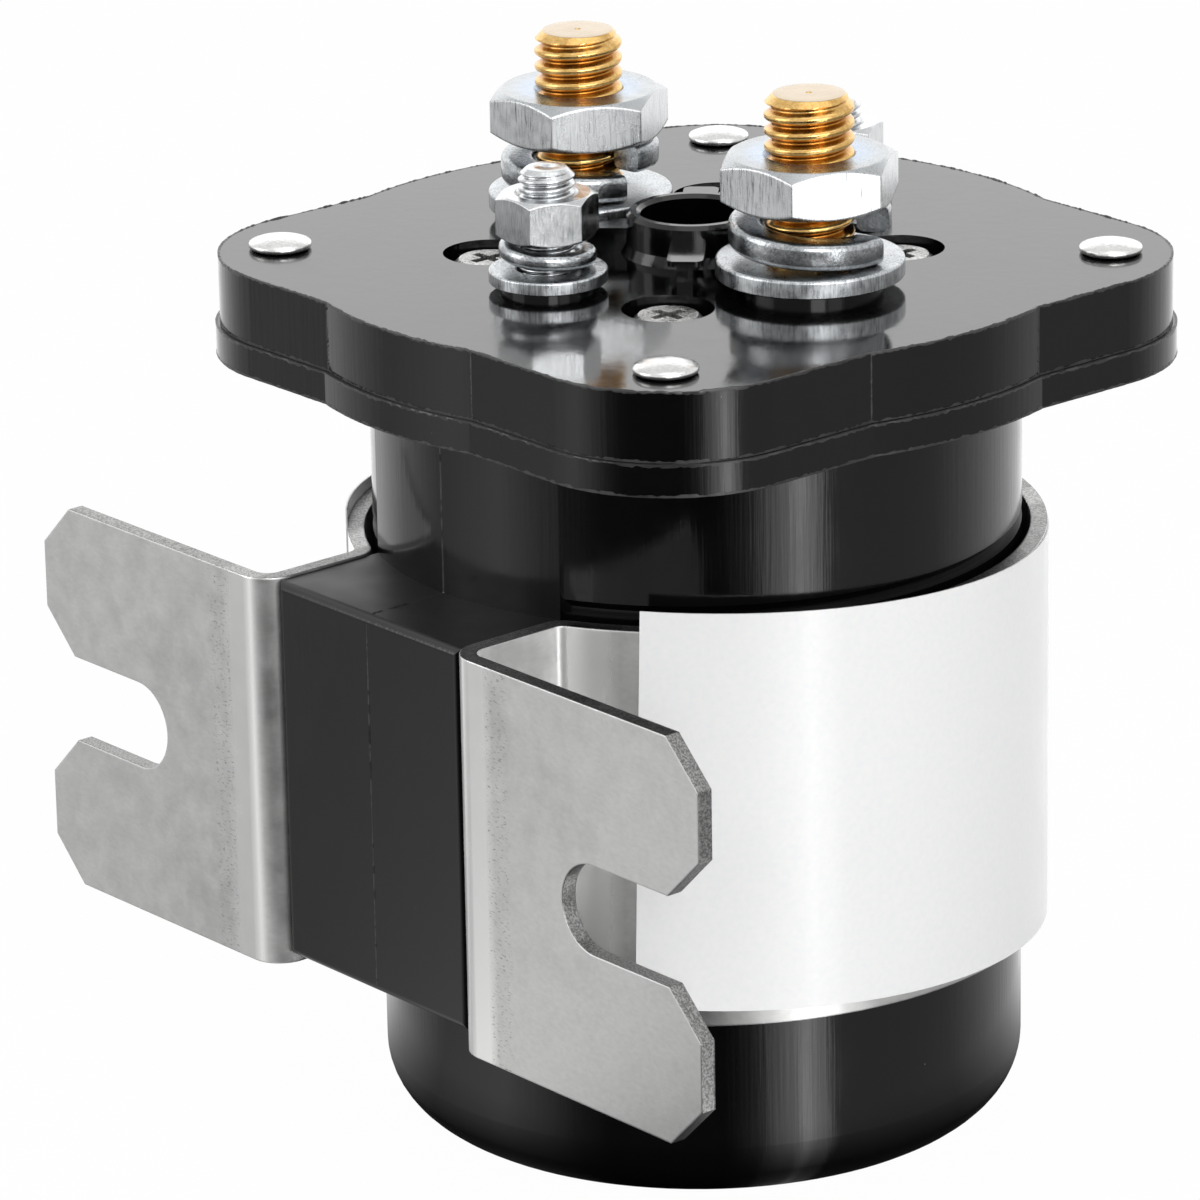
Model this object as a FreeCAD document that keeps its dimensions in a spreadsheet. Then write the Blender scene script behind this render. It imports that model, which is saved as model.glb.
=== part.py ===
import FreeCAD, Part

import math
import os
import re

import Sketcher

# Battery isolator relay: a moulded can with a riveted cover, four studs and a sheet-metal strap.
#
# Millimetres, +Z up. The origin is on the can's axis, at its flat bottom.
# +Y is the mounting side, with the pad and the two slotted tabs, and -Y is the label's middle.
# The two main studs stand on the X axis and the two coil studs on the Y axis.

SIZES = {
    # Moulded can with its flange, mounting pad and neck
    "can_radius": 29.35,
    "can_wall": 2.6,
    "can_floor": 3.0,
    "can_height": 74.3,
    "can_bottom_round": 6.0,
    "flange_thickness": 2.9,
    "flange_lip": 0.4,
    "neck_height": 16.0,
    "groove_gap": 0.3,
    "groove_height": 1.3,
    "groove_depth": 0.8,
    "pad_half_width": 12.6,
    "pad_reach": 9.15,
    "pad_inset_bottom": 1.0,
    "pad_inset_top": 0.2,
    "pad_edge_round": 0.8,
    "neck_band_proud": 0.4,
    # Cover plate
    "cover_overhang": 4.75,
    "cover_bulge": 1.4,
    "cover_corner_round": 13.2,
    "cover_thickness": 6.3,
    "cover_roof": 3.6,
    "cover_spigot_gap": 0.25,
    "cover_spigot_depth": 2.0,
    "cover_spigot_wall": 1.6,
    "tube_radius": 6.0,
    "tube_foot_radius": 6.5,
    "tube_foot_height": 0.9,
    "tube_wall": 1.27,
    "tube_height": 3.8,
    "tube_bevel": 0.35,
    "tube_floor_depth": 2.2,
    "rib_reach": 12.2,
    "rib_web": 1.4,
    "rib_height": 2.45,
    "rib_cap_width": 3.2,
    "rib_cap_thickness": 0.5,
    "rib_cap_round": 0.7,
    "main_boss_radius": 6.5,
    "main_boss_height": 1.1,
    "coil_boss_radius": 4.2,
    "coil_boss_height": 0.7,
    # Corner rivets
    "rivet_inset": 7.8,
    "rivet_shank_radius": 1.55,
    "rivet_head_radius": 2.85,
    "rivet_head_height": 1.2,
    "rivet_foot_inset": 0.35,
    "rivet_rim_height": 0.4,
    "rivet_crown_inset": 0.65,
    "rivet_crown_drop": 0.25,
    "rivet_tail_radius": 2.5,
    "rivet_tail_height": 1.0,
    # Screws that carry the magnet frame below the cover
    "screw_offset_x": 12.2,
    "screw_offset_y": 13.7,
    "screw_radius": 1.5,
    "screw_head_radius": 3.15,
    "screw_head_height": 2.1,
    "screw_head_bevel": 0.5,
    "screw_cross_width": 0.9,
    "screw_cross_length": 3.6,
    "screw_cross_depth": 1.1,
    "well_radius": 4.1,
    "well_depth": 2.6,
    "post_radius": 4.5,
    # Main studs, 5/16 inch, with their washers and nuts
    "main_stud_radius": 3.97,
    "main_stud_bevel": 1.1,
    "main_stud_end": 5.37,
    "main_thread_depth": 0.4,
    "main_head_radius": 7.0,
    "stud_head_height": 3.0,
    "main_washer_radius": 8.36,
    "main_washer_thickness": 1.65,
    "washer_to_tube_gap": 0.64,
    "main_spring_width": 3.0,
    "main_spring_thickness": 2.05,
    "main_spring_free_height": 4.95,
    "main_nut_flats": 14.29,
    "main_nut_height": 4.4,
    "nut_turn_left": 7.0,
    "nut_turn_right": 2.0,
    "split_turn_left": 187.0,
    "split_turn_right": 206.0,
    # Coil studs, M5, with their washers and nuts
    "coil_stud_inset": 9.75,
    "coil_stud_radius": 2.5,
    "coil_stud_bevel": 0.7,
    "coil_stud_end": 2.3,
    "coil_thread_depth": 0.25,
    "coil_head_radius": 4.0,
    "coil_spigot_radius": 1.6,
    "coil_spigot_length": 3.0,
    "coil_washer_radius": 5.26,
    "coil_washer_thickness": 1.15,
    "coil_spring_width": 1.5,
    "coil_spring_thickness": 1.3,
    "coil_spring_free_height": 2.85,
    "coil_nut_flats": 8.0,
    "coil_nut_height": 4.0,
    "coil_nut_turn": 0.5,
    "coil_split_turn": 320.0,
    # Both kinds of washer and nut
    "washer_gap": 0.25,
    "spring_washer_gap": 0.21,
    "spring_washer_turns": 0.97,
    "nut_bevel_slope": 0.577,
    "nut_face_share": 0.97,
    "nut_countersink": 0.5,
    # Mounting strap: one sheet bent round the can into two slotted tabs
    "strap_thickness": 1.5,
    "strap_height": 36.7,
    "strap_gap": 0.8,
    "strap_root_round": 1.0,
    "strap_bend_radius": 1.5,
    "slot_half_spacing": 31.75,
    "slot_width": 8.2,
    "tab_end_reach": 13.65,
    "tab_chamfer": 4.0,
    # Blank label on the strap
    "label_thickness": 0.15,
    "label_height": 36.9,
    "label_rise": 0.45,
    "label_start_angle": 51.2,
    "label_skew_angle": 3.0,
    "label_skew_direction": 100.0,
    # Magnet frame and coil
    "frame_gap": 0.2,
    "yoke_to_can": 4.15,
    "yoke_thickness": 2.5,
    "yoke_half_width": 12.0,
    "yoke_bend_radius": 0.6,
    "plate_thickness": 3.0,
    "plate_gap": 0.75,
    "lead_offset": 0.5,
    "lead_radius": 0.9,
    "lead_hole_gap": 0.6,
    "bobbin_gap": 0.3,
    "bobbin_end_gap": 0.2,
    "bobbin_flange": 1.6,
    "bobbin_bore": 6.7,
    "bobbin_wall": 1.0,
    "winding_gap": 0.1,
    "winding_inset": 1.8,
    "pole_length": 16.5,
    "pole_radius": 6.4,
    "pole_spigot_radius": 5.0,
    "pole_bore": 2.3,
    "return_pocket_radius": 5.0,
    "return_pocket_depth": 6.0,
    # Armature, contact bridge and their springs
    "air_gap": 2.8,
    "plunger_radius": 6.45,
    "plunger_rest_gap": 0.3,
    "plunger_bevel": 0.6,
    "rod_radius": 2.0,
    "rod_press_depth": 3.2,
    "rod_end": 2.2,
    "collar_radius": 4.5,
    "collar_thickness": 1.0,
    "collar_to_plate": 6.5,
    "contact_gap": 2.0,
    "tip_thickness": 1.0,
    "tip_bevel": 0.3,
    "tip_radius": 4.0,
    "bridge_thickness": 2.0,
    "bridge_half_width": 6.0,
    "bridge_end_reach": 3.5,
    "bridge_corner_round": 2.0,
    "insulator_neck_radius": 3.2,
    "insulator_flange_radius": 5.5,
    "insulator_flange": 1.0,
    "insulator_rise": 0.4,
    "contact_spring_length": 4.0,
    "contact_spring_wire": 0.9,
    "contact_spring_turns": 2.5,
    "return_spring_wire": 0.8,
    "return_spring_turns": 4.5,
    "spring_mean_radius": 3.6,
    "spring_seat_gap": 0.05,
    "clip_radius": 4.2,
    "clip_thickness": 0.8,
    "clip_groove_depth": 0.5,
    "clip_mouth": 2.6,
    "clip_gap": 0.05,
    # Clearances
    "rod_clearance": 0.2,
    "hole_clearance": 0.1,
    "seat_clearance": 0.05,
    "press_clearance": 0.02,
}

doc = FreeCAD.newDocument("battery_isolator_relay")
sheet = doc.addObject("Spreadsheet::Sheet", "Sizes")
for row, (name, value) in enumerate(SIZES.items(), 1):
    sheet.set("A%d" % row, name)
    sheet.set("B%d" % row, str(value))
    sheet.setAlias("B%d" % row, name)
doc.recompute()

# Places worked out from the sizes, as expressions
CAN_BORE = "(can_radius - can_wall)"
FLANGE_BOTTOM = "(can_height - flange_thickness)"
STRAP_TOP = "(can_height - flange_thickness - neck_height)"
STRAP_BOTTOM = "(can_height - flange_thickness - neck_height - strap_height)"
PAD_FACE = "(can_radius + pad_reach)"
PAD_TOP = "(" + STRAP_TOP + " - pad_inset_top)"
PAD_BOTTOM = "(" + STRAP_BOTTOM + " + pad_inset_bottom)"
COVER_TOP = "(can_height + cover_thickness)"
CEILING = "(can_height + cover_thickness - cover_roof)"
COVER_SIDE = "(can_radius + cover_overhang)"
COVER_ROUND = "(can_radius + cover_overhang + cover_bulge)"
RIVET_PLACE = "(can_radius + cover_overhang - rivet_inset)"
MAIN_PLACE = "(tube_foot_radius + washer_to_tube_gap + main_washer_radius)"
COIL_PLACE = "(" + CAN_BORE + " - coil_stud_inset)"
LEAD_PLACE = "(" + COIL_PLACE + " - lead_offset)"
MAIN_SEAT = COVER_TOP + " + main_boss_height"
MAIN_SPRING_SEAT = MAIN_SEAT + " + main_washer_thickness"
MAIN_NUT_SEAT = MAIN_SPRING_SEAT + " + main_spring_free_height"
COIL_SEAT = COVER_TOP + " + coil_boss_height"
COIL_SPRING_SEAT = COIL_SEAT + " + coil_washer_thickness"
COIL_NUT_SEAT = COIL_SPRING_SEAT + " + coil_spring_free_height"
WELL_FLOOR = "(" + COVER_TOP + " - well_depth)"
STUD_HEAD_BOTTOM = "(" + CEILING + " - stud_head_height)"
SPIGOT_BOTTOM = "(" + STUD_HEAD_BOTTOM + " - coil_spigot_length)"
TIP_FACE = "(" + STUD_HEAD_BOTTOM + " - tip_thickness)"
BRIDGE_TOP = "(" + TIP_FACE + " - contact_gap - tip_thickness)"
BRIDGE_BOTTOM = "(" + BRIDGE_TOP + " - bridge_thickness)"
BUSH_BOTTOM = "(" + BRIDGE_BOTTOM + " - insulator_flange)"
COLLAR_TOP = "(" + BUSH_BOTTOM + " - contact_spring_length)"
PLATE_TOP = "(" + COLLAR_TOP + " - collar_thickness - collar_to_plate)"
PLATE_BOTTOM = "(" + PLATE_TOP + " - plate_thickness)"
POLE_BOTTOM = "(" + PLATE_BOTTOM + " - pole_length)"
PLUNGER_TOP = "(" + POLE_BOTTOM + " - air_gap)"
YOKE_BOTTOM = "(can_floor + frame_gap)"
YOKE_FLOOR = "(can_floor + frame_gap + yoke_thickness)"
YOKE_SIDE = "(can_radius - can_wall - yoke_to_can)"
BOBBIN_SIDE = "(" + YOKE_SIDE + " - yoke_thickness - bobbin_gap)"
CLIP_BOTTOM = "(" + BRIDGE_TOP + " + insulator_rise + clip_gap)"
STRAP_BORE = "(can_radius + strap_gap)"
STRAP_OUTSIDE = "(can_radius + strap_gap + strap_thickness)"
LEG_INSIDE = "(pad_half_width + seat_clearance)"
LEG_OUTSIDE = "(pad_half_width + seat_clearance + strap_thickness)"
TAB_FRONT = "(can_radius + pad_reach + strap_thickness)"
TAB_END = "(slot_half_spacing + tab_end_reach)"
SLOT_CENTRE = "(" + STRAP_BOTTOM + " + strap_height / 2)"

QUADRANTS = (("", ""), ("-1 * ", ""), ("-1 * ", "-1 * "), ("", "-1 * "))
SIDES = (("left", "-1 * "), ("right", ""))
ENDS = (("front", "-1 * "), ("rear", ""))
FULL_TURN = 360
NUT_SIDES = 6
FLAT = 1e-4
NEAR = 0.05

nodes = []


def number(text):
    """The present value of an expression."""
    return float(sheet.evalExpression(str(text)))


def bound(text):
    """An expression with each size written as a cell of the sheet."""
    def cell(word):
        return "Sizes." + word.group() if word.group() in SIZES else word.group()
    return re.sub(r"[a-z][a-z_]+", cell, str(text))


def drive(thing, field, text):
    """Bind one property of an object to an expression of sizes."""
    thing.setExpression(field, bound(text))


def node(thing, label):
    """Name an object as a finished sub-part."""
    thing.Label = label
    nodes.append(thing)
    return thing


def place(thing, x="0", y="0", z="0", turn=None):
    """Set a sub-part at a place, turned about its upright axis."""
    angle = 0 if turn is None else number(turn)
    upright = FreeCAD.Rotation(FreeCAD.Vector(0, 0, 1), angle)
    thing.Placement = FreeCAD.Placement(FreeCAD.Vector(number(x), number(y), number(z)), upright)
    for field, text in (("x", x), ("y", y), ("z", z)):
        drive(thing, "Placement.Base." + field, text)
    return thing


def sketch_on(body, label, role, lift="0"):
    """A sketch on one of the body's own planes, moved along the plane's normal."""
    plane = [face for face in body.Origin.OriginFeatures if face.Role == role][0]
    sketch = body.newObject("Sketcher::SketchObject", label)
    sketch.AttachmentSupport = [(plane, "")]
    sketch.MapMode = "FlatFace"
    drive(sketch, "AttachmentOffset.Base.z", lift)
    return sketch


def pin_point(sketch, edge, end, x, y):
    """Hold one end of an edge at a place given by two expressions."""
    for kind, text in (("DistanceX", x), ("DistanceY", y)):
        index = sketch.addConstraint(Sketcher.Constraint(kind, -1, 1, edge, end, number(text)))
        drive(sketch, "Constraints[%d]" % index, text)


def polygon(sketch, points):
    """A closed outline of straight edges through points given as expressions."""
    corners = [FreeCAD.Vector(number(x), number(y), 0) for x, y in points]
    first = sketch.GeometryCount
    for index, corner in enumerate(corners):
        sketch.addGeometry(Part.LineSegment(corner, corners[(index + 1) % len(corners)]), False)
    for index, (x, y) in enumerate(points):
        following = first + (index + 1) % len(points)
        sketch.addConstraint(Sketcher.Constraint("Coincident", first + index, 2, following, 1))
        pin_point(sketch, first + index, 1, x, y)


def rectangle(sketch, left, right, bottom, top):
    """A closed upright rectangle."""
    polygon(sketch, ((left, bottom), (right, bottom), (right, top), (left, top)))


def circle(sketch, x, y, radius):
    """A full circle."""
    centre = FreeCAD.Vector(number(x), number(y), 0)
    edge = sketch.addGeometry(Part.Circle(centre, FreeCAD.Vector(0, 0, 1), number(radius)), False)
    pin_point(sketch, edge, 3, x, y)
    index = sketch.addConstraint(Sketcher.Constraint("Radius", edge, number(radius)))
    drive(sketch, "Constraints[%d]" % index, radius)


def discs(body, label, height, rings):
    """A level sketch of circles, each given as x, y and radius."""
    sketch = sketch_on(body, label, "XY_Plane", height)
    for x, y, radius in rings:
        circle(sketch, x, y, radius)
    return sketch


def pad(body, label, sketch, length, midplane=False):
    """Raise a sketch into a solid along its normal."""
    feature = body.newObject("PartDesign::Pad", label)
    feature.Profile = sketch
    feature.Midplane = midplane
    drive(feature, "Length", length)
    return feature


def pocket(body, label, sketch, length, reverse=False):
    """Sink a sketch against its normal, or along it if reversed."""
    doc.recompute()
    before = body.Shape.Volume
    feature = body.newObject("PartDesign::Pocket", label)
    feature.Profile = sketch
    feature.Reversed = reverse
    drive(feature, "Length", length)
    doc.recompute()
    if not body.Shape.Volume < before:
        raise ValueError("%s removes nothing" % label)
    return feature


def revolve(body, label, points, kind="PartDesign::Revolution"):
    """Turn an outline of (radius, height) points about the upright axis."""
    sketch = sketch_on(body, label + "_profile", "XZ_Plane")
    polygon(sketch, points)
    feature = body.newObject(kind, label)
    feature.Profile = sketch
    feature.ReferenceAxis = (sketch, ["V_Axis"])
    feature.Angle = FULL_TURN
    return feature


def turned(label, points):
    """A body made by turning one outline."""
    body = doc.addObject("PartDesign::Body", label)
    revolve(body, label + "_turning", points)
    return body


def coil_sweep(label, width, height, radius, rise, turns, left_hand=False):
    """A rectangular section, with its outside at a radius, carried up a helix."""
    body = doc.addObject("PartDesign::Body", label)
    sketch = sketch_on(body, label + "_section", "XZ_Plane")
    rectangle(sketch, "%s - %s" % (radius, width), radius, "0", height)
    sweep = body.newObject("PartDesign::AdditiveHelix", label + "_helix")
    sweep.Profile = sketch
    sweep.ReferenceAxis = (sketch, ["V_Axis"])
    sweep.Mode = "height-turns-angle"
    sweep.LeftHanded = left_hand
    drive(sweep, "Height", rise)
    drive(sweep, "Turns", turns)
    return body


def group(label, pieces):
    """Several separate solids of one kind kept as one sub-part."""
    compound = doc.addObject("Part::Compound", label)
    compound.Links = pieces
    return node(compound, label)


def edges_of(feature, test):
    """Names of the edges of a feature that pass a test."""
    doc.recompute()
    return ["Edge%d" % (count + 1) for count, edge in enumerate(feature.Shape.Edges) if test(edge)]


def soften(body, label, kind, field, size, test):
    """Round or bevel those edges of the body's last feature that pass a test."""
    base = body.Tip
    names = edges_of(base, test)
    feature = body.newObject("PartDesign::" + kind, label)
    feature.Base = (base, names)
    drive(feature, field, size)
    doc.recompute()
    return feature


def is_upright(edge):
    """True for a straight edge that runs along Z."""
    return edge.BoundBox.XLength < FLAT and edge.BoundBox.YLength < FLAT


def upright_near(places):
    """A test for upright edges at any of the given places in plan."""
    def test(edge):
        middle = edge.BoundBox.Center
        near = [math.hypot(middle.x - x, middle.y - y) < NEAR for x, y in places]
        return is_upright(edge) and any(near)
    return test


# Outline of cover and flange: a round-cornered square joined with a slightly larger circle
def plate_outline(body, label, height, lip, length):
    side = "(" + COVER_SIDE + lip + ")"
    square = sketch_on(body, label + "_square", "XY_Plane", height)
    rectangle(square, "-1 * " + side, side, "-1 * " + side, side)
    pad(body, label + "_plate", square, length)
    reach = number(side)
    corners = [(x * reach, y * reach) for x in (-1, 1) for y in (-1, 1)]
    soften(body, label + "_corners", "Fillet", "Radius", "cover_corner_round" + lip,
           upright_near(corners))
    round_part = discs(body, label + "_circle", height, [("0", "0", COVER_ROUND + lip)])
    pad(body, label + "_bulge", round_part, length)


def four_places(x, y):
    """A place in each quadrant, as expressions."""
    return [(sign_x + x, sign_y + y) for sign_x, sign_y in QUADRANTS]


def ring_edge(radius, height):
    """A test for a full circle of one radius at one height, about the part's own axis."""
    def test(edge):
        box = edge.BoundBox
        return (box.ZLength < FLAT and abs(box.ZMin - number(height)) < NEAR
                and abs(box.XMax - number(radius)) < NEAR and abs(box.XMin + number(radius)) < NEAR)
    return test


# Moulded can: cup, flange, neck groove and mounting pad in one piece
def make_housing():
    body = doc.addObject("PartDesign::Body", "housing")
    plate_outline(body, "flange", FLANGE_BOTTOM, " + flange_lip", "flange_thickness")
    groove_low = STRAP_TOP + " + groove_gap"
    groove_high = STRAP_TOP + " + groove_gap + groove_height"
    groove_radius = "can_radius - groove_depth"
    revolve(body, "cup", (
        ("0", "0"),
        ("can_radius", "0"),
        ("can_radius", groove_low),
        (groove_radius, groove_low),
        (groove_radius, groove_high + " - groove_depth"),
        ("can_radius", groove_high),
        ("can_radius", FLANGE_BOTTOM),
        ("0", FLANGE_BOTTOM),
    ))
    soften(body, "foot_round", "Fillet", "Radius", "can_bottom_round", ring_edge("can_radius", "0"))
    # Smooth band that carries the pad's width up the neck to the flange
    band_radius = "can_radius + neck_band_proud"
    band = sketch_on(body, "neck_band_outline", "XY_Plane", PAD_TOP)
    rectangle(band, "-1 * pad_half_width", "pad_half_width", "0", PAD_FACE)
    pad(body, "neck_band", band, FLANGE_BOTTOM + " - " + PAD_TOP)
    revolve(body, "neck_band_face", (
        (band_radius, PAD_TOP),
        (PAD_FACE + " + pad_half_width", PAD_TOP),
        (PAD_FACE + " + pad_half_width", FLANGE_BOTTOM),
        (band_radius, FLANGE_BOTTOM),
    ), "PartDesign::Groove")
    block = sketch_on(body, "pad_outline", "XY_Plane", PAD_BOTTOM)
    rectangle(block, "-1 * pad_half_width", "pad_half_width", "0", PAD_FACE)
    pad(body, "pad_block", block, PAD_TOP + " - " + PAD_BOTTOM)
    face = number(PAD_FACE)

    def on_pad_rim(edge):
        return edge.BoundBox.YMin > face - FLAT
    soften(body, "pad_rim", "Fillet", "Radius", "pad_edge_round", on_pad_rim)
    bore = discs(body, "can_bore_circle", "can_height", [("0", "0", CAN_BORE)])
    pocket(body, "can_bore", bore, "can_height - can_floor")
    soften(body, "bore_foot", "Fillet", "Radius", "can_bottom_round - can_wall",
           ring_edge(CAN_BORE, "can_floor"))
    holes = [(x, y, "rivet_shank_radius + seat_clearance") for x, y in four_places(RIVET_PLACE, RIVET_PLACE)]
    pocket(body, "rivet_holes", discs(body, "rivet_circles", "can_height", holes), "flange_thickness")
    node(body, "housing")


# Cover plate with its locating spigot, screw posts, stud bosses, centre tube and four T ribs
def make_cover():
    body = doc.addObject("PartDesign::Body", "cover")
    plate_outline(body, "cover", "can_height", "", "cover_thickness")
    spigot_radius = CAN_BORE + " - cover_spigot_gap"
    spigot_low = "(can_height - cover_spigot_depth)"
    pad(body, "spigot", discs(body, "spigot_circle", spigot_low, [("0", "0", spigot_radius)]),
        "cover_spigot_depth")
    hollow = discs(body, "hollow_circle", spigot_low, [("0", "0", spigot_radius + " - cover_spigot_wall")])
    pocket(body, "hollow", hollow, CEILING + " - " + spigot_low, reverse=True)
    screws = four_places("screw_offset_x", "screw_offset_y")
    posts = [(x, y, "post_radius") for x, y in screws]
    pad(body, "posts", discs(body, "post_circles", PLATE_TOP, posts), CEILING + " - " + PLATE_TOP)
    for label, boss, x, y, height in (
            ("main", "main_boss_radius", MAIN_PLACE, "0", "main_boss_height"),
            ("coil", "coil_boss_radius", "0", COIL_PLACE, "coil_boss_height")):
        pair = [(x, y, boss), ("-1 * " + x, "-1 * " + y, boss)]
        pad(body, label + "_bosses", discs(body, label + "_boss_circles", COVER_TOP, pair), height)
    tube_top = "(" + COVER_TOP + " + tube_height)"
    revolve(body, "tube", (
        ("0", COVER_TOP),
        ("tube_foot_radius", COVER_TOP),
        ("tube_radius", COVER_TOP + " + tube_foot_height"),
        ("tube_radius", tube_top + " - tube_bevel"),
        ("tube_radius - tube_bevel", tube_top),
        ("0", tube_top),
    ))
    add_ribs(body)
    tube_bore = "(tube_radius - tube_wall)"
    pocket(body, "tube_well", discs(body, "tube_bore_circle", tube_top, [("0", "0", tube_bore)]),
           "tube_height + tube_floor_depth")
    soften(body, "tube_rim", "Chamfer", "Size", "tube_bevel", ring_edge(tube_bore, tube_top))
    wells = [(x, y, "well_radius") for x, y in screws]
    pocket(body, "screw_wells", discs(body, "well_circles", COVER_TOP, wells), "well_depth")
    bores = [(x, y, "screw_radius + hole_clearance") for x, y in screws]
    pocket(body, "screw_bores", discs(body, "screw_circles", COVER_TOP, bores),
           COVER_TOP + " - " + PLATE_TOP)
    rivets = [(x, y, "rivet_shank_radius + seat_clearance") for x, y in four_places(RIVET_PLACE, RIVET_PLACE)]
    pocket(body, "rivet_holes_cover", discs(body, "rivet_circles_cover", COVER_TOP, rivets),
           "cover_thickness")
    main_bore = "main_stud_radius + hole_clearance"
    mains = [(MAIN_PLACE, "0", main_bore), ("-1 * " + MAIN_PLACE, "0", main_bore)]
    pocket(body, "main_stud_holes", discs(body, "main_hole_circles", MAIN_SEAT, mains),
           "main_boss_height + cover_roof")
    coil_bore = "coil_stud_radius + hole_clearance"
    coils = [("0", COIL_PLACE, coil_bore), ("0", "-1 * " + COIL_PLACE, coil_bore)]
    pocket(body, "coil_stud_holes", discs(body, "coil_hole_circles", COIL_SEAT, coils),
           "coil_boss_height + cover_roof")
    node(body, "cover")


# Four ribs on the diagonals from the tube outwards, each a T in section
def add_ribs(body):
    inner = "(tube_radius - tube_wall / 2)"
    for label, width, low, height in (
            ("rib_webs", "rib_web", "0", "rib_height"),
            ("rib_caps", "rib_cap_width", "rib_height - rib_cap_thickness", "rib_cap_thickness")):
        sketch = sketch_on(body, label + "_outline", "XY_Plane", COVER_TOP + " + " + low)
        for sign_x, sign_y in QUADRANTS:
            polygon(sketch, [
                (sign_x + "(%s + %s / 2) / sqrt(2)" % (reach, width_x),
                 sign_y + "(%s + %s / 2) / sqrt(2)" % (reach, width_y))
                for reach, width_x, width_y in (
                    (inner, width, "-1 * " + width),
                    ("rib_reach", width, "-1 * " + width),
                    ("rib_reach", "-1 * " + width, width),
                    (inner, "-1 * " + width, width))])
        pad(body, label, sketch, height)
    tips = [(sign_x * (number("rib_reach") + side * number("rib_cap_width / 2")) / math.sqrt(2),
             sign_y * (number("rib_reach") - side * number("rib_cap_width / 2")) / math.sqrt(2))
            for sign_x in (-1, 1) for sign_y in (-1, 1) for side in (-1, 1)]
    soften(body, "rib_tips", "Fillet", "Radius", "rib_cap_round", upright_near(tips))


# Rivets: low crowned head on the cover, shank through both plates, tail upset under the flange
def make_corner_rivets():
    rivets = []
    rivet_top = "(" + COVER_TOP + " + rivet_head_height)"
    for index, (x, y) in enumerate(four_places(RIVET_PLACE, RIVET_PLACE), 1):
        rivet = turned("corner_rivet_%d" % index, (
            ("0", FLANGE_BOTTOM + " - rivet_tail_height"),
            ("rivet_tail_radius", FLANGE_BOTTOM + " - rivet_tail_height"),
            ("rivet_tail_radius", FLANGE_BOTTOM),
            ("rivet_shank_radius", FLANGE_BOTTOM),
            ("rivet_shank_radius", COVER_TOP),
            ("rivet_head_radius - rivet_foot_inset", COVER_TOP),
            ("rivet_head_radius", COVER_TOP + " + rivet_rim_height"),
            ("rivet_head_radius - rivet_crown_inset", rivet_top + " - rivet_crown_drop"),
            ("0", rivet_top),
        ))
        rivets.append(place(rivet, x, y))
    group("corner_rivets", rivets)


# Cross-recessed screws that hold the magnet frame up against the cover's posts
def make_frame_screws():
    screws = []
    head_top = WELL_FLOOR + " + screw_head_height"
    half = "screw_cross_width / 2"
    arm = "screw_cross_length / 2"
    for index, (x, y) in enumerate(four_places("screw_offset_x", "screw_offset_y"), 1):
        label = "frame_screw_%d" % index
        screw = turned(label, (
            ("0", PLATE_BOTTOM),
            ("screw_radius", PLATE_BOTTOM),
            ("screw_radius", WELL_FLOOR),
            ("screw_head_radius", WELL_FLOOR),
            ("screw_head_radius", head_top + " - screw_head_bevel"),
            ("screw_head_radius - screw_head_bevel", head_top),
            ("0", head_top),
        ))
        cross = sketch_on(screw, label + "_cross", "XY_Plane", head_top)
        corner = ((half, half), (arm, half), (arm, "-" + half), (half, "-" + half),
                  (half, "-" + arm), ("-" + half, "-" + arm), ("-" + half, "-" + half),
                  ("-" + arm, "-" + half), ("-" + arm, half), ("-" + half, half),
                  ("-" + half, arm), (half, arm))
        polygon(cross, corner)
        pocket(screw, label + "_recess", cross, "screw_cross_depth")
        screws.append(place(screw, x, y))
    group("frame_screws", screws)


def nut_seat(radius, depth, low, height):
    """The stretch of a shank inside its nut, at the thread's pitch line instead of its crests."""
    return (
        (radius, low),
        ("%s - %s" % (radius, depth), low),
        ("%s - %s" % (radius, depth), "%s + %s" % (low, height)),
        (radius, "%s + %s" % (low, height)),
    )


# Terminal studs: a round head under the cover's roof and a shank up through its boss
def make_studs():
    tip = MAIN_NUT_SEAT + " + main_nut_height + main_stud_end"
    for side, sign in SIDES:
        stud = turned("main_stud_" + side, (
            ("0", STUD_HEAD_BOTTOM),
            ("main_head_radius", STUD_HEAD_BOTTOM),
            ("main_head_radius", CEILING),
            ("main_stud_radius", CEILING),
            *nut_seat("main_stud_radius", "main_thread_depth", MAIN_NUT_SEAT, "main_nut_height"),
            ("main_stud_radius", tip + " - main_stud_bevel"),
            ("main_stud_radius - main_stud_bevel", tip),
            ("0", tip),
        ))
        node(place(stud, x=sign + MAIN_PLACE), "main_stud_" + side)
    tip = COIL_NUT_SEAT + " + coil_nut_height + coil_stud_end"
    for end, sign in ENDS:
        stud = turned("coil_stud_" + end, (
            ("0", SPIGOT_BOTTOM),
            ("coil_spigot_radius", SPIGOT_BOTTOM),
            ("coil_spigot_radius", STUD_HEAD_BOTTOM),
            ("coil_head_radius", STUD_HEAD_BOTTOM),
            ("coil_head_radius", CEILING),
            ("coil_stud_radius", CEILING),
            *nut_seat("coil_stud_radius", "coil_thread_depth", COIL_NUT_SEAT, "coil_nut_height"),
            ("coil_stud_radius", tip + " - coil_stud_bevel"),
            ("coil_stud_radius - coil_stud_bevel", tip),
            ("0", tip),
        ))
        node(place(stud, y=sign + COIL_PLACE), "coil_stud_" + end)


def flat_washer(label, bore, radius, thickness, x, y, z):
    washer = turned(label, ((bore, "0"), (radius, "0"), (radius, thickness), (bore, thickness)))
    node(place(washer, x, y, z), label)


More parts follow.
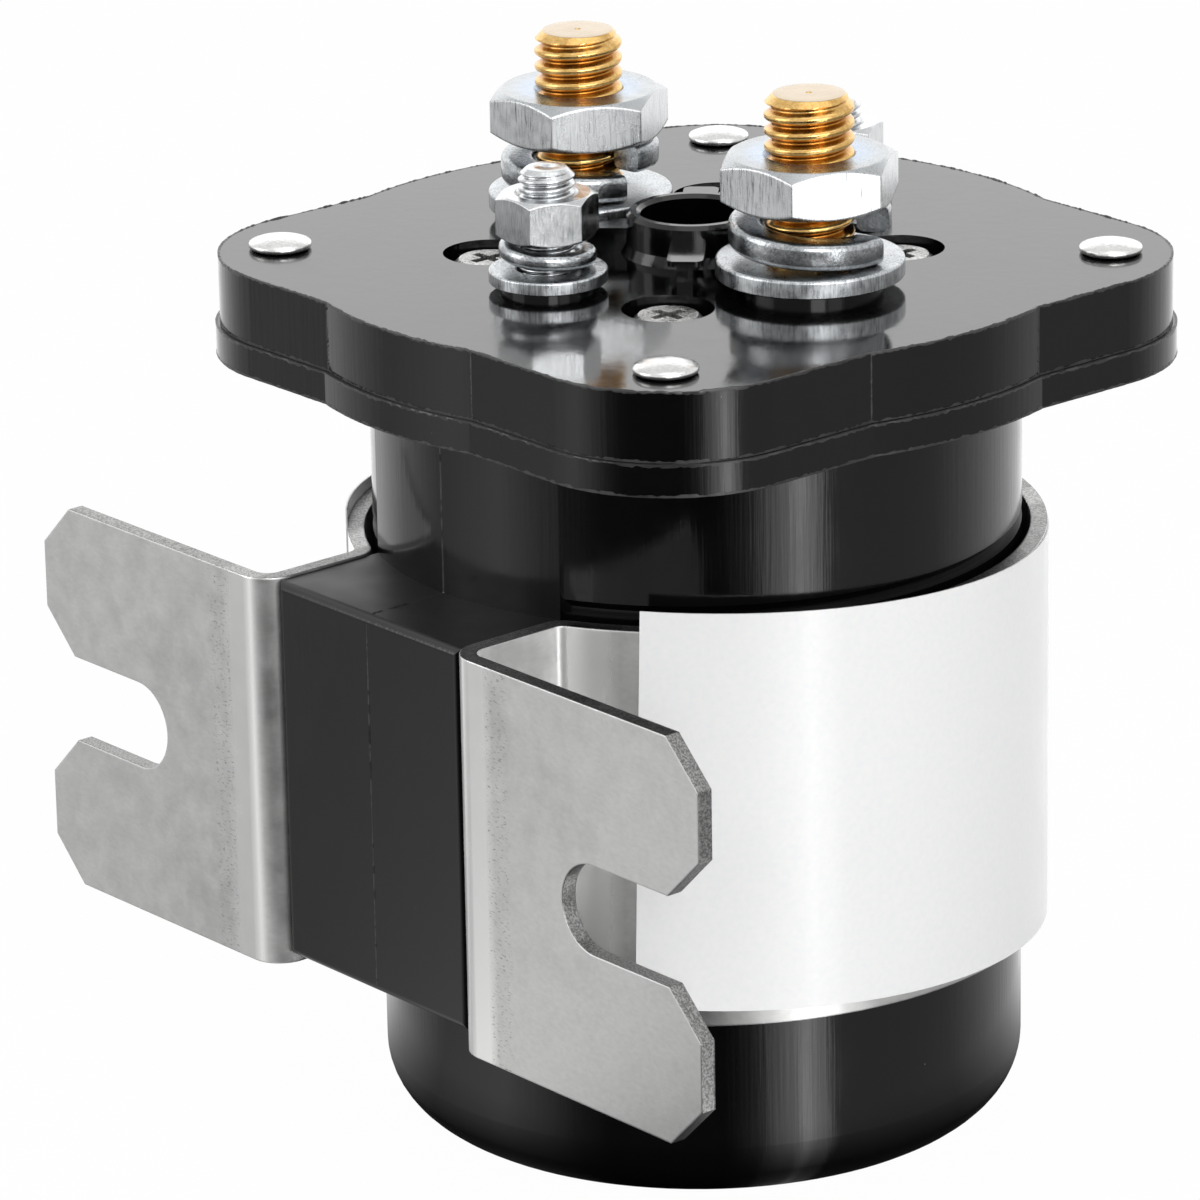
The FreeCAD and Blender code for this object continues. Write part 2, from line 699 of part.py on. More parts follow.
# Split washers left as cut: a left-hand helix of rectangular section, just under one turn
def spring_washer(label, bore, width, thickness, free_height, split, x, y, z):
    rise = "%s - %s" % (free_height, thickness)
    outside = "(%s + %s)" % (bore, width)
    washer = coil_sweep(label, width, thickness, outside, rise, "spring_washer_turns", left_hand=True)
    node(place(washer, x, y, z, turn=split), label)


# Hexagon nuts bevelled on both faces, with a countersunk bore
def hexagon_nut(label, flats, height, pitch_radius, turn, x, y, z):
    corner = "(%s / sqrt(3))" % flats
    face = "(nut_face_share * %s / 2)" % flats
    drop = "(%s - %s) * nut_bevel_slope" % (corner, face)
    bore = "(%s + seat_clearance)" % pitch_radius
    prism = doc.addObject("Part::Prism", label + "_prism")
    prism.Polygon = NUT_SIDES
    drive(prism, "Circumradius", corner)
    drive(prism, "Height", height)
    barrel = turned(label + "_barrel", (
        (bore, "nut_countersink"),
        (bore + " + nut_countersink", "0"),
        (face, "0"),
        (corner, drop),
        (corner, "%s - %s" % (height, drop)),
        (face, height),
        (bore + " + nut_countersink", height),
        (bore, height + " - nut_countersink"),
    ))
    nut = doc.addObject("Part::Common", label)
    nut.Base = prism
    nut.Tool = barrel
    node(place(nut, x, y, z, turn), label)


def make_stud_hardware():
    for side, sign in SIDES:
        x = sign + MAIN_PLACE
        flat_washer("main_flat_washer_" + side, "main_stud_radius + washer_gap", "main_washer_radius",
                    "main_washer_thickness", x, "0", MAIN_SEAT)
        spring_washer("main_spring_washer_" + side, "main_stud_radius + spring_washer_gap",
                      "main_spring_width", "main_spring_thickness", "main_spring_free_height",
                      "split_turn_" + side, x, "0", MAIN_SPRING_SEAT)
        hexagon_nut("main_nut_" + side, "main_nut_flats", "main_nut_height",
                    "main_stud_radius - main_thread_depth", "nut_turn_" + side, x, "0", MAIN_NUT_SEAT)
    for end, sign in ENDS:
        y = sign + COIL_PLACE
        flat_washer("coil_flat_washer_" + end, "coil_stud_radius + washer_gap", "coil_washer_radius",
                    "coil_washer_thickness", "0", y, COIL_SEAT)
        spring_washer("coil_spring_washer_" + end, "coil_stud_radius + spring_washer_gap",
                      "coil_spring_width", "coil_spring_thickness", "coil_spring_free_height",
                      "coil_split_turn", "0", y, COIL_SPRING_SEAT)
        hexagon_nut("coil_nut_" + end, "coil_nut_flats", "coil_nut_height",
                    "coil_stud_radius - coil_thread_depth", "coil_nut_turn", "0", y, COIL_NUT_SEAT)


# Mounting strap: one sheet round the can, along both sides of the pad and out into two tabs
def make_mounting_strap():
    body = doc.addObject("PartDesign::Body", "mounting_strap")
    ring = discs(body, "strap_ring_circles", STRAP_BOTTOM, [("0", "0", STRAP_OUTSIDE), ("0", "0", STRAP_BORE)])
    pad(body, "strap_ring", ring, "strap_height")
    opening = sketch_on(body, "strap_opening_outline", "XY_Plane", STRAP_TOP)
    rectangle(opening, "-1 * " + LEG_INSIDE, LEG_INSIDE, "0", STRAP_OUTSIDE + " + strap_thickness")
    pocket(body, "strap_opening", opening, "strap_height")
    root = "sqrt(%s ^ 2 - %s ^ 2)" % (STRAP_BORE, LEG_INSIDE)
    for side, sign in SIDES:
        sketch = sketch_on(body, "leg_outline_" + side, "XY_Plane", STRAP_BOTTOM)
        polygon(sketch, (
            (sign + LEG_INSIDE, TAB_FRONT),
            (sign + TAB_END, TAB_FRONT),
            (sign + TAB_END, PAD_FACE),
            (sign + LEG_OUTSIDE, PAD_FACE),
            (sign + LEG_OUTSIDE, root),
            (sign + LEG_INSIDE, root),
        ))
        pad(body, "leg_" + side, sketch, "strap_height")
    inside, outside = number(LEG_INSIDE), number(LEG_OUTSIDE)
    front, back = number(TAB_FRONT), number(PAD_FACE)
    root_inside = math.sqrt(number(STRAP_BORE) ** 2 - inside ** 2)
    root_outside = math.sqrt(number(STRAP_OUTSIDE) ** 2 - outside ** 2)
    for label, size, x, y in (
            ("tab_bend_inside", "strap_bend_radius", outside, back),
            ("tab_bend_outside", "strap_bend_radius + strap_thickness", inside, front),
            ("root_bend_inside", "strap_root_round", outside, root_outside),
            ("root_bend_outside", "strap_root_round + strap_thickness", inside, root_inside)):
        soften(body, label, "Fillet", "Radius", size, upright_near([(x, y), (-x, y)]))
    ends = sketch_on(body, "slot_end_circles", "XZ_Plane", "-1 * " + TAB_FRONT)
    mouths = sketch_on(body, "slot_mouth_outlines", "XZ_Plane", "-1 * " + TAB_FRONT)
    low, high = SLOT_CENTRE + " - slot_width / 2", SLOT_CENTRE + " + slot_width / 2"
    for side, sign in SIDES:
        circle(ends, sign + "slot_half_spacing", SLOT_CENTRE, "slot_width / 2")
        rectangle(mouths, sign + "slot_half_spacing", sign + "(%s + slot_width)" % TAB_END, low, high)
    pocket(body, "slot_ends", ends, "strap_thickness", reverse=True)
    pocket(body, "slot_mouths", mouths, "strap_thickness", reverse=True)
    end = number(TAB_END)

    def at_tab_corner(edge):
        box = edge.BoundBox
        across = box.XLength < FLAT and box.ZLength < FLAT
        return across and abs(abs(box.Center.x) - end) < NEAR
    soften(body, "tab_corners", "Chamfer", "Size", "tab_chamfer", at_tab_corner)
    node(body, "mounting_strap")


# Blank label: a thin skin on the strap's outside, wrapped slightly out of square
def make_label():
    skin = turned("label_skin", (
        (STRAP_OUTSIDE + " + press_clearance", STRAP_BOTTOM + " - label_height / 2"),
        (STRAP_OUTSIDE + " + label_thickness", STRAP_BOTTOM + " - label_height / 2"),
        (STRAP_OUTSIDE + " + label_thickness", STRAP_TOP + " + label_height / 2"),
        (STRAP_OUTSIDE + " + press_clearance", STRAP_TOP + " + label_height / 2"),
    ))
    sheet_cut = doc.addObject("Part::Cylinder", "label_sheet")
    drive(sheet_cut, "Radius", STRAP_OUTSIDE + " + label_height")
    drive(sheet_cut, "Height", "label_height")
    drive(sheet_cut, "Angle", "180 + 2 * label_start_angle")
    lean = math.radians(number("label_skew_direction"))
    axis = FreeCAD.Vector(math.sin(lean), -math.cos(lean), 0)
    skew = FreeCAD.Rotation(axis, number("label_skew_angle"))
    start = FreeCAD.Rotation(FreeCAD.Vector(0, 0, 1), number("180 - label_start_angle"))
    middle = number(STRAP_TOP + " + label_rise - label_height / 2")
    low = skew.multVec(FreeCAD.Vector(0, 0, -number("label_height / 2")))
    sheet_cut.Placement = FreeCAD.Placement(FreeCAD.Vector(0, 0, middle) + low, skew.multiply(start))
    label = doc.addObject("Part::Common", "label")
    label.Base = skin
    label.Tool = sheet_cut
    node(label, "label")


# Magnet frame: a bent U strip closed by the pole plate
def make_magnet_frame():
    yoke = doc.addObject("PartDesign::Body", "magnet_yoke")
    sketch = sketch_on(yoke, "yoke_outline", "YZ_Plane")
    inner = "(" + YOKE_SIDE + " - yoke_thickness)"
    polygon(sketch, (
        ("-1 * " + YOKE_SIDE, PLATE_BOTTOM),
        ("-1 * " + YOKE_SIDE, YOKE_BOTTOM),
        (YOKE_SIDE, YOKE_BOTTOM),
        (YOKE_SIDE, PLATE_BOTTOM),
        (inner, PLATE_BOTTOM),
        (inner, YOKE_FLOOR),
        ("-1 * " + inner, YOKE_FLOOR),
        ("-1 * " + inner, PLATE_BOTTOM),
    ))
    pad(yoke, "yoke_strip", sketch, "2 * yoke_half_width", midplane=True)
    for label, size, y, z in (
            ("yoke_bend_inside", "yoke_bend_radius", inner, YOKE_FLOOR),
            ("yoke_bend_outside", "yoke_bend_radius + yoke_thickness", YOKE_SIDE, YOKE_BOTTOM)):
        across, height = number(y), number(z)

        def at_bend(edge, across=across, height=height):
            middle = edge.BoundBox.Center
            along = edge.BoundBox.YLength < FLAT and edge.BoundBox.ZLength < FLAT
            return along and math.hypot(abs(middle.y) - across, middle.z - height) < NEAR
        soften(yoke, label, "Fillet", "Radius", size, at_bend)
    node(yoke, "magnet_yoke")

    plate = doc.addObject("PartDesign::Body", "pole_plate")
    holes = [("0", "0", CAN_BORE + " - plate_gap"), ("0", "0", "pole_spigot_radius + press_clearance")]
    holes += [(x, y, "screw_radius + seat_clearance")
              for x, y in four_places("screw_offset_x", "screw_offset_y")]
    holes += [("0", sign + LEAD_PLACE, "lead_radius + lead_hole_gap") for end, sign in ENDS]
    pad(plate, "plate_disc", discs(plate, "plate_circles", PLATE_BOTTOM, holes), "plate_thickness")
    node(plate, "pole_plate")

    pole = turned("pole_piece", (
        ("return_pocket_radius", POLE_BOTTOM),
        ("pole_radius", POLE_BOTTOM),
        ("pole_radius", PLATE_BOTTOM),
        ("pole_spigot_radius", PLATE_BOTTOM),
        ("pole_spigot_radius", PLATE_TOP),
        ("pole_bore", PLATE_TOP),
        ("pole_bore", POLE_BOTTOM + " + return_pocket_depth"),
        ("return_pocket_radius", POLE_BOTTOM + " + return_pocket_depth"),
    ))
    node(pole, "pole_piece")


# Coil: flanged bobbin, winding, and two leads up to the coil studs
def make_coil():
    low, high = "(" + YOKE_FLOOR + " + bobbin_end_gap)", "(" + PLATE_BOTTOM + " - bobbin_end_gap)"
    barrel = "bobbin_bore + bobbin_wall"
    bobbin = turned("coil_bobbin", (
        ("bobbin_bore", low),
        (BOBBIN_SIDE, low),
        (BOBBIN_SIDE, low + " + bobbin_flange"),
        (barrel, low + " + bobbin_flange"),
        (barrel, high + " - bobbin_flange"),
        (BOBBIN_SIDE, high + " - bobbin_flange"),
        (BOBBIN_SIDE, high),
        ("bobbin_bore", high),
    ))
    leads = [("0", sign + LEAD_PLACE, "lead_radius + lead_hole_gap") for end, sign in ENDS]
    pocket(bobbin, "lead_notches", discs(bobbin, "lead_circles", high, leads), "bobbin_flange")
    node(bobbin, "coil_bobbin")

    wire_low, wire_high = low + " + bobbin_flange + winding_gap", high + " - bobbin_flange - winding_gap"
    winding = turned("coil_winding", (
        (barrel + " + winding_gap", wire_low),
        (BOBBIN_SIDE + " - winding_inset", wire_low),
        (BOBBIN_SIDE + " - winding_inset", wire_high),
        (barrel + " + winding_gap", wire_high),
    ))
    node(winding, "coil_winding")

    pieces = []
    for end, sign in ENDS:
        lead = doc.addObject("Part::Cylinder", "coil_lead_" + end)
        drive(lead, "Radius", "lead_radius")
        drive(lead, "Height", SPIGOT_BOTTOM + " - (" + wire_high + ")")
        pieces.append(place(lead, y=sign + LEAD_PLACE, z=wire_high))
    group("coil_leads", pieces)


# Armature: plunger with a pressed-in rod, whose collar pushes the bridge through a spring
def make_armature():
    low = "(" + YOKE_FLOOR + " + plunger_rest_gap)"
    socket = "(" + PLUNGER_TOP + " - rod_press_depth)"
    plunger = turned("plunger", (
        ("0", low),
        ("plunger_radius - plunger_bevel", low),
        ("plunger_radius", low + " + plunger_bevel"),
        ("plunger_radius", PLUNGER_TOP),
        ("rod_radius + press_clearance", PLUNGER_TOP),
        ("rod_radius + press_clearance", socket),
        ("0", socket),
    ))
    node(plunger, "plunger")

    neck = "rod_radius - clip_groove_depth"
    rod = turned("plunger_rod", (
        ("0", socket),
        ("rod_radius", socket),
        ("rod_radius", COLLAR_TOP + " - collar_thickness"),
        ("collar_radius", COLLAR_TOP + " - collar_thickness"),
        ("collar_radius", COLLAR_TOP),
        ("rod_radius", COLLAR_TOP),
        ("rod_radius", CLIP_BOTTOM),
        (neck, CLIP_BOTTOM),
        (neck, CLIP_BOTTOM + " + clip_thickness"),
        ("rod_radius", CLIP_BOTTOM + " + clip_thickness"),
        ("rod_radius", CLIP_BOTTOM + " + clip_thickness + rod_end"),
        ("0", CLIP_BOTTOM + " + clip_thickness + rod_end"),
    ))
    node(rod, "plunger_rod")

    clip = doc.addObject("PartDesign::Body", "retaining_clip")
    rings = [("0", "0", "clip_radius"), ("0", "0", neck + " + seat_clearance")]
    pad(clip, "clip_disc", discs(clip, "clip_circles", CLIP_BOTTOM, rings), "clip_thickness")
    mouth = sketch_on(clip, "clip_mouth_outline", "XY_Plane", CLIP_BOTTOM + " + clip_thickness")
    rectangle(mouth, "-1 * clip_mouth / 2", "clip_mouth / 2", "-2 * clip_radius", "0")
    pocket(clip, "clip_opening", mouth, "clip_thickness")
    node(clip, "retaining_clip")

    seat = " + spring_seat_gap"
    for label, wire, turns, low, high in (
            ("return_spring", "return_spring_wire", "return_spring_turns",
             PLUNGER_TOP, POLE_BOTTOM + " + return_pocket_depth"),
            ("contact_spring", "contact_spring_wire", "contact_spring_turns", COLLAR_TOP, BUSH_BOTTOM)):
        rise = "%s - %s - %s - 2 * spring_seat_gap" % (high, low, wire)
        spring = coil_sweep(label, wire, wire, "(spring_mean_radius + %s / 2)" % wire, rise, turns)
        node(place(spring, z=low + seat), label)


# Contact bridge on its insulating bush, with silver tips facing those on the studs
def make_contacts():
    bridge = doc.addObject("PartDesign::Body", "contact_bridge")
    reach = "(" + MAIN_PLACE + " + bridge_end_reach)"
    outline = sketch_on(bridge, "bridge_outline", "XY_Plane", BRIDGE_BOTTOM)
    rectangle(outline, "-1 * " + reach, reach, "-1 * bridge_half_width", "bridge_half_width")
    circle(outline, "0", "0", "insulator_neck_radius + seat_clearance")
    pad(bridge, "bridge_bar", outline, "bridge_thickness")
    end, side = number(reach), number("bridge_half_width")
    soften(bridge, "bridge_corners", "Fillet", "Radius", "bridge_corner_round",
           upright_near([(x * end, y * side) for x in (-1, 1) for y in (-1, 1)]))
    node(bridge, "contact_bridge")

    bore = "rod_radius + rod_clearance"
    bush = turned("bridge_insulator", (
        (bore, BUSH_BOTTOM),
        ("insulator_flange_radius", BUSH_BOTTOM),
        ("insulator_flange_radius", BRIDGE_BOTTOM),
        ("insulator_neck_radius", BRIDGE_BOTTOM),
        ("insulator_neck_radius", BRIDGE_TOP + " + insulator_rise"),
        (bore, BRIDGE_TOP + " + insulator_rise"),
    ))
    node(bush, "bridge_insulator")

    for label, low, high in (
            ("moving_contact_tips", BRIDGE_TOP, BRIDGE_TOP + " + tip_thickness - tip_bevel"),
            ("fixed_contact_tips", STUD_HEAD_BOTTOM, TIP_FACE + " + tip_bevel")):
        face = "%s %s tip_bevel" % (high, "+" if low == BRIDGE_TOP else "-")
        tips = []
        for side_name, sign in SIDES:
            tip = turned("%s_%s" % (label, side_name), (
                ("0", low),
                ("tip_radius", low),
                ("tip_radius", high),
                ("tip_radius - tip_bevel", face),
                ("0", face),
            ))
            tips.append(place(tip, x=sign + MAIN_PLACE))
        group(label, tips)


make_housing()
make_cover()
make_corner_rivets()
make_frame_screws()
make_studs()
make_stud_hardware()
make_mounting_strap()
make_label()
make_magnet_frame()
make_coil()
make_armature()
make_contacts()
doc.recompute()

faults = [thing.Label for thing in doc.Objects if {"Invalid", "Error"} & set(thing.State)]
faults += [thing.Label for thing in nodes if thing.Shape.isNull() or not thing.Shape.isValid()]
if faults:
    raise ValueError("not built: " + ", ".join(faults))

os.makedirs("parts", exist_ok=True)
for thing in nodes:
    thing.Shape.exportStep("parts/%s.step" % thing.Label)
    print("%-28s %d solids  %10.2f mm3" % (thing.Label, len(thing.Shape.Solids), thing.Shape.Volume))
print(len(nodes), "nodes")
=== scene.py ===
import math

import bpy
import numpy as np
from mathutils import Matrix, Vector


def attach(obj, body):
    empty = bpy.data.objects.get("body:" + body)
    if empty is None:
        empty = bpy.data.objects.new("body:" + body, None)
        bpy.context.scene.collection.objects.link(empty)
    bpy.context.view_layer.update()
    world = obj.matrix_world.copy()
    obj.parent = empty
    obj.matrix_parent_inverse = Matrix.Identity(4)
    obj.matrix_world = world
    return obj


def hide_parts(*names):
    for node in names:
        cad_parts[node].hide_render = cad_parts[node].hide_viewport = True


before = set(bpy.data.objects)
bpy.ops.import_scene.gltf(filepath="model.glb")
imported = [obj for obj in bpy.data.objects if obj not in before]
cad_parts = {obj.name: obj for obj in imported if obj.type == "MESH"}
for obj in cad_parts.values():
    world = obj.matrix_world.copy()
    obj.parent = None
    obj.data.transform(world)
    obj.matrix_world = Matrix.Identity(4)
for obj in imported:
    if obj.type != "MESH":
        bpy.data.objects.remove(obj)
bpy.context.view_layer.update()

# Looks of a battery isolator relay. Metres, +Z up, the can's axis on Z, the mounting side on +Y.
# Shapes are worked out in millimetres and scaled once, where a mesh is made.
MM = 0.001
TURN = 2 * math.pi

# Places and sizes shared with the construction, in millimetres
COVER_TOP = 80.6
SEAM = 74.3
FLANGE_BOTTOM = 71.4
COVER_SIDE = 34.1
COVER_CORNER = 13.2
COVER_ROUND = 35.5
FLANGE_LIP = 0.4
MAIN_X = 15.5
COIL_Y = 17.0
RIVET_PLACE = 26.3
PAD_FACE = 38.5
PAD_TOP = 55.2
PAD_BOTTOM = 19.7
PAD_ROUND = 0.8
NECK_RADIUS = 29.75
CAN_RADIUS = 29.35

# Heights of the hardware on the studs, in millimetres: thread starts, washer faces and stud ends
THREAD_START = 80.7
MAIN_WASHER_LOW, MAIN_WASHER_HIGH, MAIN_TIP = 81.7, 83.35, 98.05
COIL_WASHER_LOW, COIL_WASHER_HIGH, COIL_TIP = 81.3, 82.45, 91.58


# Mesh making

def mesh_piece(name, points, faces, material, smooth=35):
    """A mesh of points in millimetres, with edges sharper than the given angle in degrees kept sharp."""
    mesh = bpy.data.meshes.new(name)
    mesh.from_pydata((np.asarray(points) * MM).tolist(), [], faces)
    mesh.validate()
    mesh.shade_smooth()
    mesh.set_sharp_from_angle(angle=math.radians(smooth))
    mesh.materials.append(material)
    piece = bpy.data.objects.new(name, mesh)
    bpy.context.scene.collection.objects.link(piece)
    return piece


def sheet_faces(rows, columns, ring=True):
    """Quads of a grid of points, rows by columns. With ring the last column joins the first."""
    across = columns if ring else columns - 1
    row, column = np.meshgrid(np.arange(rows - 1), np.arange(across), indexing="ij")
    after = (column + 1) % columns
    quads = np.stack([row * columns + column, row * columns + after,
                      (row + 1) * columns + after, (row + 1) * columns + column], axis=-1)
    return quads.reshape(-1, 4).tolist()


def around(centre, reach, angle, level):
    """Points centre + (reach cos angle, reach sin angle), level, as one list of rows."""
    x = centre[0] + reach * np.cos(angle)
    y = centre[1] + reach * np.sin(angle)
    return np.stack([x, y, level], axis=-1).reshape(-1, 3)


def turned(outline, centre, segments):
    """Surface of revolution: point(s, a) = centre + (r(s) cos a, r(s) sin a), z(s), for outline (r, z)."""
    outline = np.array(outline, float)
    angle = np.arange(segments) * TURN / segments
    level = np.repeat(outline[:, 1:], segments, axis=1)
    return around(centre, outline[:, :1], angle, level), sheet_faces(len(outline), segments)


def joined(*parts):
    """Several (points, faces) pairs as one."""
    points, faces, start = [], [], 0
    for corners, quads in parts:
        points.append(corners)
        faces += [[corner + start for corner in quad] for quad in quads]
        start += len(corners)
    return np.concatenate(points), faces


def arc(centre, radius, first, last, steps=6):
    """Points (r, z) of an arc about a centre, between two angles in degrees."""
    angle = np.radians(np.linspace(first, last, steps))
    return list(zip(centre[0] + radius * np.cos(angle), centre[1] + radius * np.sin(angle)))


def washer_outline(bore, outside, low, high, edge):
    """Section of a flat washer as stamped: rounded on the punch side, nearly sharp below."""
    small = edge * 0.4
    return ([(bore, low + small), (bore + small, low), (outside - small, low), (outside, low + small)]
            + arc((outside - edge, high - edge), edge, 0, 90)
            + arc((bore + edge, high - edge), edge, 90, 180)
            + [(bore, low + small)])


def threaded_stud(centre, tip, radius, pitch, depth, bevel, mark_depth):
    """Screw thread: r(a, z) = radius - depth * w(z / pitch - a / turn), cut down by the 45 degree bevel.

    w = (0.5 - 0.5 cos) ** 1.5 has wide round crests and narrow roots. The end has a small centre mark."""
    segments, rows_per_turn = 96, 16
    rows = int((tip - THREAD_START) / pitch * rows_per_turn)
    angle = np.arange(segments) * TURN / segments
    height = np.linspace(THREAD_START, tip, rows)[:, None]
    phase = height / pitch - angle[None, :] / TURN
    wave = (0.5 - 0.5 * np.cos(TURN * phase)) ** 1.5
    end_radius = radius - bevel
    shank = np.minimum(radius - depth * wave, end_radius + (tip - height))
    # Rings (r, z) that close the end: a hair of crown, then down into the mark
    rings = [(end_radius - 0.12, tip + 0.02), (end_radius * 0.7, tip + 0.03), (0.3, tip + 0.03),
             (0.2, tip - mark_depth), (0.001, tip - mark_depth * 1.4)]
    reach = np.concatenate([shank] + [np.full((1, segments), ring[0]) for ring in rings])
    level = np.concatenate([np.repeat(height, segments, axis=1)]
                           + [np.full((1, segments), ring[1]) for ring in rings])
    return around(centre, reach, angle, level), sheet_faces(len(level), segments)


def split_washer(centre, bore, width, thickness, low, rise, split, edge):
    """Round-edged bar wound left-handed: angle = split - turn * 0.97 u, height = low + rise * u."""
    steps, turns = 150, 0.97
    inner, outer = bore + edge, bore + width - edge
    under, over = low + edge, low + thickness - edge
    corners = ((inner, under, 180), (outer, under, 270), (outer, over, 0), (inner, over, 90))
    section = np.array([point for x, z, first in corners
                        for point in arc((x, z), edge, first, first + 90, steps=5)])
    u = np.linspace(0, 1, steps)[:, None]
    angle = math.radians(split) - TURN * turns * u
    # The bar's two cut ends are drawn in a little, which eases their rim
    pull = np.ones((steps, 1))
    pull[[0, -1]] = 0.97
    middle = section.mean(axis=0)
    reach = middle[0] + (section[None, :, 0] - middle[0]) * pull
    level = middle[1] + (section[None, :, 1] - middle[1]) * pull + rise * u
    count = len(section)
    faces = sheet_faces(steps, count)
    faces.append(list(range(count)))
    faces.append(list(range((steps - 1) * count, steps * count))[::-1])
    return around(centre, reach, angle, level), faces


def ragged(count, seed, scales):
    """Repeatable ragged values from 0 to 1 along a closed line, from smoothed noise at several scales."""
    random = np.random.default_rng(seed)
    total = np.zeros(count)
    for scale in scales:
        draws = random.standard_normal(count)
        kernel = np.hanning(scale + 2)[1:-1]
        smooth = np.real(np.fft.ifft(np.fft.fft(draws) * np.fft.fft(kernel, count)))
        total += smooth / smooth.std()
    # A mean of 0.45 and a spread of 0.3, held within 0 and 1
    return np.clip(0.45 + 0.3 * total / total.std(), 0, 1)


def plate_reach(angle, grow):
    """Radius of the cover's outline: the larger of the circle and the round-cornered square."""
    side, corner = COVER_SIDE + grow, COVER_CORNER + grow
    centre = side - corner
    across = np.maximum(np.abs(np.cos(angle)), np.abs(np.sin(angle)))
    along = np.minimum(np.abs(np.cos(angle)), np.abs(np.sin(angle)))
    flat = side / across
    dot = centre * (across + along)
    bend = dot + np.sqrt(np.maximum(dot ** 2 - 2 * centre ** 2 + corner ** 2, 0))
    square = np.where(flat * along <= centre, flat, bend)
    return np.maximum(square, COVER_ROUND + grow)


def flash_ring(level, grow, seed, height, reach, hang=-1):
    """Trimmed flash along an edge: a thin ragged lip whose height and reach follow seeded noise.

    Its section starts on the level face, goes over the lip and ends on the wall below it, or above with
    hang 1."""
    count = 2400
    angle = np.arange(count) * TURN / count
    base = plate_reach(angle, grow)
    rough = ragged(count, seed, (4, 9, 23))
    drag = ragged(count, seed + 1, (5, 13))
    rings = ((base - 0.22, np.full(count, level + 0.004)),
             (base - 0.05, level + height * rough),
             (base + reach * drag, level + height * 0.4 * rough),
             (base + 0.004, level + hang * (0.1 + 0.2 * drag)))
    points = np.concatenate([around((0, 0), radius, angle, z) for radius, z in rings])
    return points, sheet_faces(len(rings), count)


def ridge(path, aside, out, width, height, seed):
    """A low line along a path: three points across, the middle one raised by seeded noise."""
    count = 400
    path = np.array(path, float)
    leg = np.linalg.norm(np.diff(path, axis=0), axis=1)
    place = np.concatenate([[0], np.cumsum(leg)])
    at = np.linspace(0, place[-1], count)
    line = np.stack([np.interp(at, place, path[:, axis]) for axis in range(3)], axis=-1)
    lift = np.stack([np.interp(at, place, np.array(out, float)[:, axis]) for axis in range(3)], axis=-1)
    # The noise is stretched so that parts of the line nearly vanish
    rise = (height * np.clip(ragged(count, seed, (5, 19)) * 1.6 - 0.35, 0.05, 1))[:, None]
    side = np.array(aside, float) * width / 2
    sunk = lift * 0.02
    points = np.stack([line - side - sunk, line + lift * rise, line + side - sunk], axis=1)
    return points.reshape(-1, 3), sheet_faces(count, 3, ring=False)


# Materials

def ink(text):
    """Linear colour of a six-digit hex one: ((c + 0.055) / 1.055) ** 2.4, or c / 12.92 below 0.04045."""
    parts = [int(text[at:at + 2], 16) / 255 for at in (0, 2, 4)]
    linear = [((part + 0.055) / 1.055) ** 2.4 if part > 0.04045 else part / 12.92 for part in parts]
    return tuple(linear) + (1.0,)


def add(tree, kind, feeds=(), output=None, **settings):
    """Add one shader node with its settings, fed with values or other nodes' outputs.

    Feeds go to the inputs in order, or by name. Inputs and outputs that the settings switch off don't count.
    The answer is the output with the name asked for, or the first."""
    made = tree.nodes.new("ShaderNode" + kind)
    for name, value in settings.items():
        setattr(made, name, value)
    used = [socket for socket in made.inputs if socket.enabled]
    for key, value in feeds.items() if isinstance(feeds, dict) else enumerate(feeds):
        socket = made.inputs[key] if isinstance(key, str) else used[key]
        if isinstance(value, bpy.types.NodeSocket):
            tree.links.new(value, socket)
        else:
            socket.default_value = value
    shown = [socket for socket in made.outputs if socket.enabled and output in (None, socket.name)]
    return shown[0] if shown else None


def finish_of(name, **constants):
    """A material with one Principled shader whose plain numbers are set on the shader itself."""
    material = bpy.data.materials.new(name)
    material.use_nodes = True
    tree = material.node_tree
    shader = [item for item in tree.nodes if item.type == "BSDF_PRINCIPLED"][0]
    for socket, value in constants.items():
        shader.inputs[socket.replace("_", " ")].default_value = value
    return material, tree, shader


def grain(tree, width, stretch=(1, 1, 1), detail=4.0, rough=0.55):
    """Uneven grain over the piece's own coordinates, as wide as given in mm before the stretch per axis.

    File marks and rolling grain are finer in truth. Below 0.15 mm they wouldn't show in the render."""
    place = add(tree, "TexCoord", output="Object")
    drawn = add(tree, "Mapping", {"Vector": place, "Scale": stretch})
    return add(tree, "TexNoise", {"Vector": drawn, "Scale": 1 / (width * MM), "Detail": detail,
                                  "Roughness": rough})


def relief(tree, shader, *layers):
    """Press patterns into the surface, one over the other. Each layer is a pattern and its depth in mm."""
    normal = shader.inputs["Normal"]
    for pattern, depth in layers:
        feeds = {"Height": pattern, "Distance": depth * MM, "Strength": 1.0}
        if normal.is_linked:
            feeds["Normal"] = normal.links[0].from_socket
        tree.links.new(add(tree, "Bump", feeds), normal)


